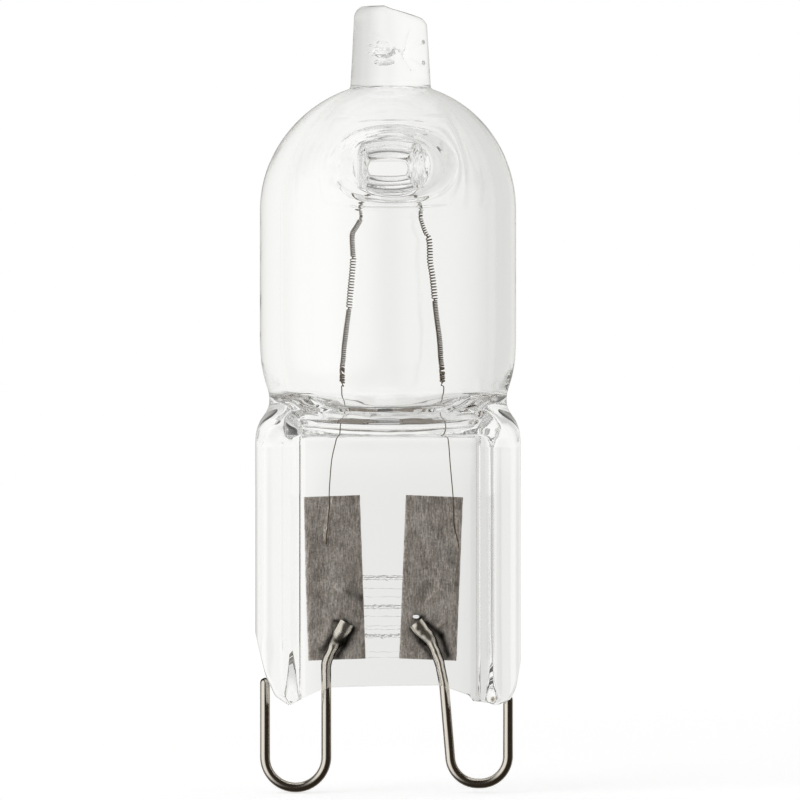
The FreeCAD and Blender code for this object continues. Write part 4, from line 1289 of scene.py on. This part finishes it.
def foilSheet(sizes):
    # front and back grids, joined along the edge and round the hole
    across, up = foils["across"], foils["up"]
    block = holeBlock(sizes["hole"]) if sizes["hole"] else None
    points = [foilPoint(sizes, side, foils["width"] * (column / across - 0.5),
                        foils["length"] * (row / up - 0.5))
              for side in (-1, 1) for row in range(up + 1) for column in range(across + 1)]
    size = (across + 1) * (up + 1)

    def isOpen(column, row):
        inHole = block and block[0] <= column < block[1] and block[2] <= row < block[3]
        return inHole or not (0 <= column < across and 0 <= row < up)

    faces = []
    for row in range(up):
        for column in range(across):
            if isOpen(column, row):
                continue
            a = row * (across + 1) + column
            b, c, d = a + 1, a + across + 2, a + across + 1
            faces.append([a, b, c, d])
            faces.append([size + d, size + c, size + b, size + a])
            for first, second, beyond in ((a, b, (column, row - 1)), (b, c, (column + 1, row)),
                                          (c, d, (column, row + 1)), (d, a, (column - 1, row))):
                if isOpen(*beyond):
                    faces.append([second, first, size + first, size + second])
    return points, faces


def weldShade(x, z, shades):
    return 1 - math.prod(1 - deep * nearStroke(x, z, start, end, halfWidth)
                         for start, end, halfWidth, deep in shades)


def addFoils():
    material = rolledMolybdenum()
    for side, nodeName in (("left", "foil_left"), ("right", "foil_right")):
        points, faces = foilSheet(foils[side])
        piece = addPiece(side + "Foil", points, faces, material)
        # painted shade: how dark each point is painted, from the strokes in shades
        shades = [weldShade(x, z, foils[side]["shades"]) for x, y, z in points]
        piece.data.attributes.new("weldShade", "FLOAT", "POINT").data.foreach_set("value", shades)
        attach(piece, "root")
        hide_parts(nodeName)
    print("foils made")


addFoils()

# Jaw ridges: fine ribs that the press left across the back of the panel

ridges = {
    "levels": ((10.93, 0.8), (10.85, 1.0), (10.77, 0.7), (9.44, 0.8), (9.37, 0.9), (9.3, 0.5),
               (7.97, 0.7), (7.91, 1.0), (7.85, 0.6), (10.32, 0.22), (9.9, 0.18), (8.9, 0.2),
               (8.42, 0.18), (8.25, 0.22), (7.1, 0.18),
               (6.82, 0.22)),
    "halfLength": 2.6,
    "back": 1.41,
    "thick": 0.075,
    "step": 0.06,
    "wobble": 0.16,
    "wobbleSize": 0.35,
    "seed": 7.0,
    "sides": 10,
    # thick and thin patches along a rib: finer than the wobble, the noise's range and the thickness's range
    "patchShare": 2.5,
    "patchFrom": (0.35, 0.65),
    "patchTo": (0.12, 1.3),
}


def ridgeTree(inputs):
    tree, given, curve = newTree("jawRidge", inputs)
    even = shapeNode(tree, "ResampleCurve", curve, {"Length": given["Step"]}, {"mode": "LENGTH"})
    place, solid = fact(tree, "InputPosition"), {"noise_dimensions": "4D"}
    lumps = speckle(tree, place, given["Wobble Size"], 3.0, solid, W=given["Seed"])
    sway = product(tree, calculate(tree, "SUBTRACT", lumps, 0.5), given["Wobble"])
    offset = addNode(tree, "ShaderNodeCombineXYZ", None, {"Z": sway}).outputs[0]
    swayed = shapeNode(tree, "SetPosition", even, {"Offset": offset})
    patch = calculate(tree, "DIVIDE", given["Wobble Size"], ridges["patchShare"])
    patches = speckle(tree, place, patch, 2.0, solid, W=calculate(tree, "ADD", given["Seed"], 3.0))
    uneven = ramped(tree, patches, *ridges["patchFrom"], *ridges["patchTo"], False)
    rib = rodAlong(tree, swayed, ridges["sides"], given["Thick"], product(tree, uneven, named(tree, "size")))
    return finishTree(tree, rib, given["Material"])


def addRidges(glass):
    lines = [[(end * ridges["halfLength"], ridges["back"] + ridges["thick"] * size, level) for end in (-1, 1)]
             for level, size in ridges["levels"]]
    inputs = {label: ridges[size] * mm for label, size in (
        ("Thick", "thick"), ("Step", "step"), ("Wobble", "wobble"), ("Wobble Size", "wobbleSize"))}
    inputs.update({"Seed": ridges["seed"], "Material": glass})
    piece = addGrown("jawRidges", lines, {"size": [size for level, size in ridges["levels"]]},
                     ridgeTree(inputs), inputs)
    piece.visible_shadow = False


addRidges(bpy.data.materials["fusedQuartz"])

# Floor and light: a white studio with a soft box at the front left and a dark room behind the camera.
# Clear glass shows the white backdrop, which is a little greyer on the right, and the floor close to
# the lamp, which is darker and draws the lines at the waist and round the dimple

studio = {
    "floorHalf": 1500.0,
    "floorLevel": -0.02,
    "floorPaint": "#f0f0f0",
    # with the light that falls on it the floor is just white, and its shadow shows
    "floorGlow": {"near": 0.465, "far": 0.64, "from": 60.0, "to": 500.0},
    "floorShade": "#4c4c4a",  # the floor as glass and metal show it, close to the lamp
    "shadeCentre": (0.0, 38.0),  # just behind the lamp
    "shadeFrom": 12.0,
    "shadeTo": 42.0,
    "left": "#fdfdfb",
    "right": "#d6d6d4",
    "leftToRight": (-0.5, 0.7),
    # tones across the card, by place, behind the bulb and behind the seal
    "card": {"behind": 45.0, "half": 160.0, "from": -12.0, "to": 28.0,
             "upper": ((-5.0, "#fffffd"), (0.5, "#fafaf8"), (7.0, "#f6f6f4"), (20.0, "#e2e2e0")),
             "lower": ((-5.2, "#fdfdfb"), (-3.4, "#f1f1ef"), (3.9, "#eeeeec"), (5.6, "#e2e2e0"),
                       (20.0, "#dcdcda")),
             "lowerFrom": 14.0, "upperFrom": 20.0},
    # what metal and glass mirror: a dark room, a grey wall behind the lamp and a strip of light at the left
    "room": "#2f2922",
    "wall": "#b4b2ae",
    "roomToWall": (0.1, 0.9),
    "strip": (-0.82, -0.57, 0.05),
    "stripEdge": (0.58, 0.9),
    "glassRoom": "#45423e",
    "roomToCard": (-0.85, -0.3),  # how far round to the front clear glass shows the room
    "fill": 0.5,
    "box": {"place": (-330.0, -330.0, 170.0), "across": 420.0, "up": 520.0, "watts": 1.2,
            "towards": (0.0, 0.0, 20.0)},
    "bounces": 40,
}


def addFloor():
    half, level = studio["floorHalf"], studio["floorLevel"]
    material, tree = emptyMaterial("paleFloor")
    path = addNode(tree, "ShaderNodeLightPath").outputs
    place = objectPlace(tree)
    # glass and metal see nothing of it but a dark patch close to the lamp
    shadeCentre = [value * mm for value in (*studio["shadeCentre"], level)]
    fromShade = vectorMath(tree, "DISTANCE", place, shadeCentre, "Value")
    share = ramped(tree, fromShade, studio["shadeFrom"] * mm, studio["shadeTo"] * mm)
    clear = addNode(tree, "ShaderNodeBsdfTransparent")
    seen = mixedShader(tree, share, glow(tree, studio["floorShade"]), clear)
    # the camera sees paint with a glow, a little stronger further off
    paint = addNode(tree, "ShaderNodeBsdfDiffuse", None, {"Color": studio["floorPaint"]})
    away, glowing = vectorMath(tree, "LENGTH", place, result="Value"), studio["floorGlow"]
    strength = ramped(tree, away, glowing["from"] * mm, glowing["to"] * mm,
                      glowing["near"], glowing["far"], False)
    shining = glow(tree, "#ffffff", strength)
    lit = addNode(tree, "ShaderNodeAddShader", None, {0: paint.outputs[0], 1: shining.outputs[0]})
    mirrored = calculate(tree, "MAXIMUM", path["Is Transmission Ray"], path["Is Glossy Ray"])
    bounced = mixedShader(tree, mirrored, paint, seen)
    finishMaterial(material, mixedShader(tree, path["Is Camera Ray"], bounced, lit))
    corners = [(x * half, y * half, level) for x, y in ((-1, -1), (1, -1), (1, 1), (-1, 1))]
    addPiece("floor", corners, [[0, 1, 2, 3]], material)


def addCard():
    # a card behind the lamp that only clear glass shows, white, and a little greyer on the right
    card = studio["card"]
    start, end = card["from"], card["to"]
    material, tree = emptyMaterial("shadedCard")
    parts = apart(tree, objectPlace(tree))
    share = ramped(tree, parts["X"], start * mm, end * mm, smooth=False)
    bands = [colourRamp(tree, share, [((x - start) / (end - start), colour) for x, colour in card[band]])
             for band in ("lower", "upper")]
    tone = mixed(tree, ramped(tree, parts["Z"], card["lowerFrom"] * mm, card["upperFrom"] * mm), *bands)
    finishMaterial(material, glow(tree, tone))
    corners = [(x * card["half"], card["behind"], z * card["half"])
               for x, z in ((-1, 0), (1, 0), (1, 1), (-1, 1))]
    piece = addPiece("shadedCard", corners, [[0, 1, 2, 3]], material)
    for rays in ("camera", "diffuse", "glossy", "shadow", "volume_scatter"):
        setattr(piece, "visible_" + rays, False)


def setWorld():
    world = bpy.data.worlds.new("whiteStudio")
    bpy.context.scene.world = world
    world.use_nodes = True
    tree = world.node_tree
    tree.nodes.clear()
    path = addNode(tree, "ShaderNodeLightPath").outputs
    way = addNode(tree, "ShaderNodeTexCoord").outputs["Generated"]
    parts = apart(tree, way)
    tone = mixed(tree, ramped(tree, parts["X"], *studio["leftToRight"]), studio["left"], studio["right"])
    wall = mixed(tree, ramped(tree, parts["Y"], *studio["roomToWall"]), studio["room"], studio["wall"])
    lit = ramped(tree, vectorMath(tree, "DOT_PRODUCT", way, studio["strip"], "Value"), *studio["stripEdge"])
    room, glassRoom = [mixed(tree, lit, dark, "#ffffff") for dark in (wall, studio["glassRoom"])]
    # light that passes straight through never shows the room, so the glass is as clear from behind
    straight = calculate(tree, "LESS_THAN", path["Glossy Depth"], 0.5)
    cleared = calculate(tree, "MAXIMUM", ramped(tree, parts["Y"], *studio["roomToCard"]), straight)
    around = mixed(tree, cleared, glassRoom, tone)
    light = glow(tree, "#ffffff", studio["fill"], "ShaderNodeBackground")
    for ray, colour in (("Is Glossy Ray", room), ("Is Transmission Ray", around),
                        ("Is Camera Ray", "#ffffff")):
        light = mixedShader(tree, path[ray], light, glow(tree, colour, kind="ShaderNodeBackground"))
    addNode(tree, "ShaderNodeOutputWorld", None, {"Surface": light.outputs[0]})


def addSoftBox():
    box = studio["box"]
    light = bpy.data.lights.new("softBox", "AREA")
    light.shape = "RECTANGLE"
    light.size, light.size_y = box["across"] * mm, box["up"] * mm
    light.energy = box["watts"]
    holder = addObject("softBox", light)
    holder.location = Vector(box["place"]) * mm
    way = Vector(box["towards"]) - Vector(box["place"])
    holder.rotation_euler = way.to_track_quat("-Z", "Y").to_euler()
    holder.visible_glossy = holder.visible_transmission = False  # the world is what metal and glass mirror


addFloor()
addCard()
setWorld()
addSoftBox()
bpy.context.scene.view_settings.view_transform = "Standard"
for limit in ("max_bounces", "glossy_bounces", "transmission_bounces"):
    # light runs far inside thick glass before it comes out
    setattr(bpy.context.scene.cycles, limit, studio["bounces"])
print("studio set")
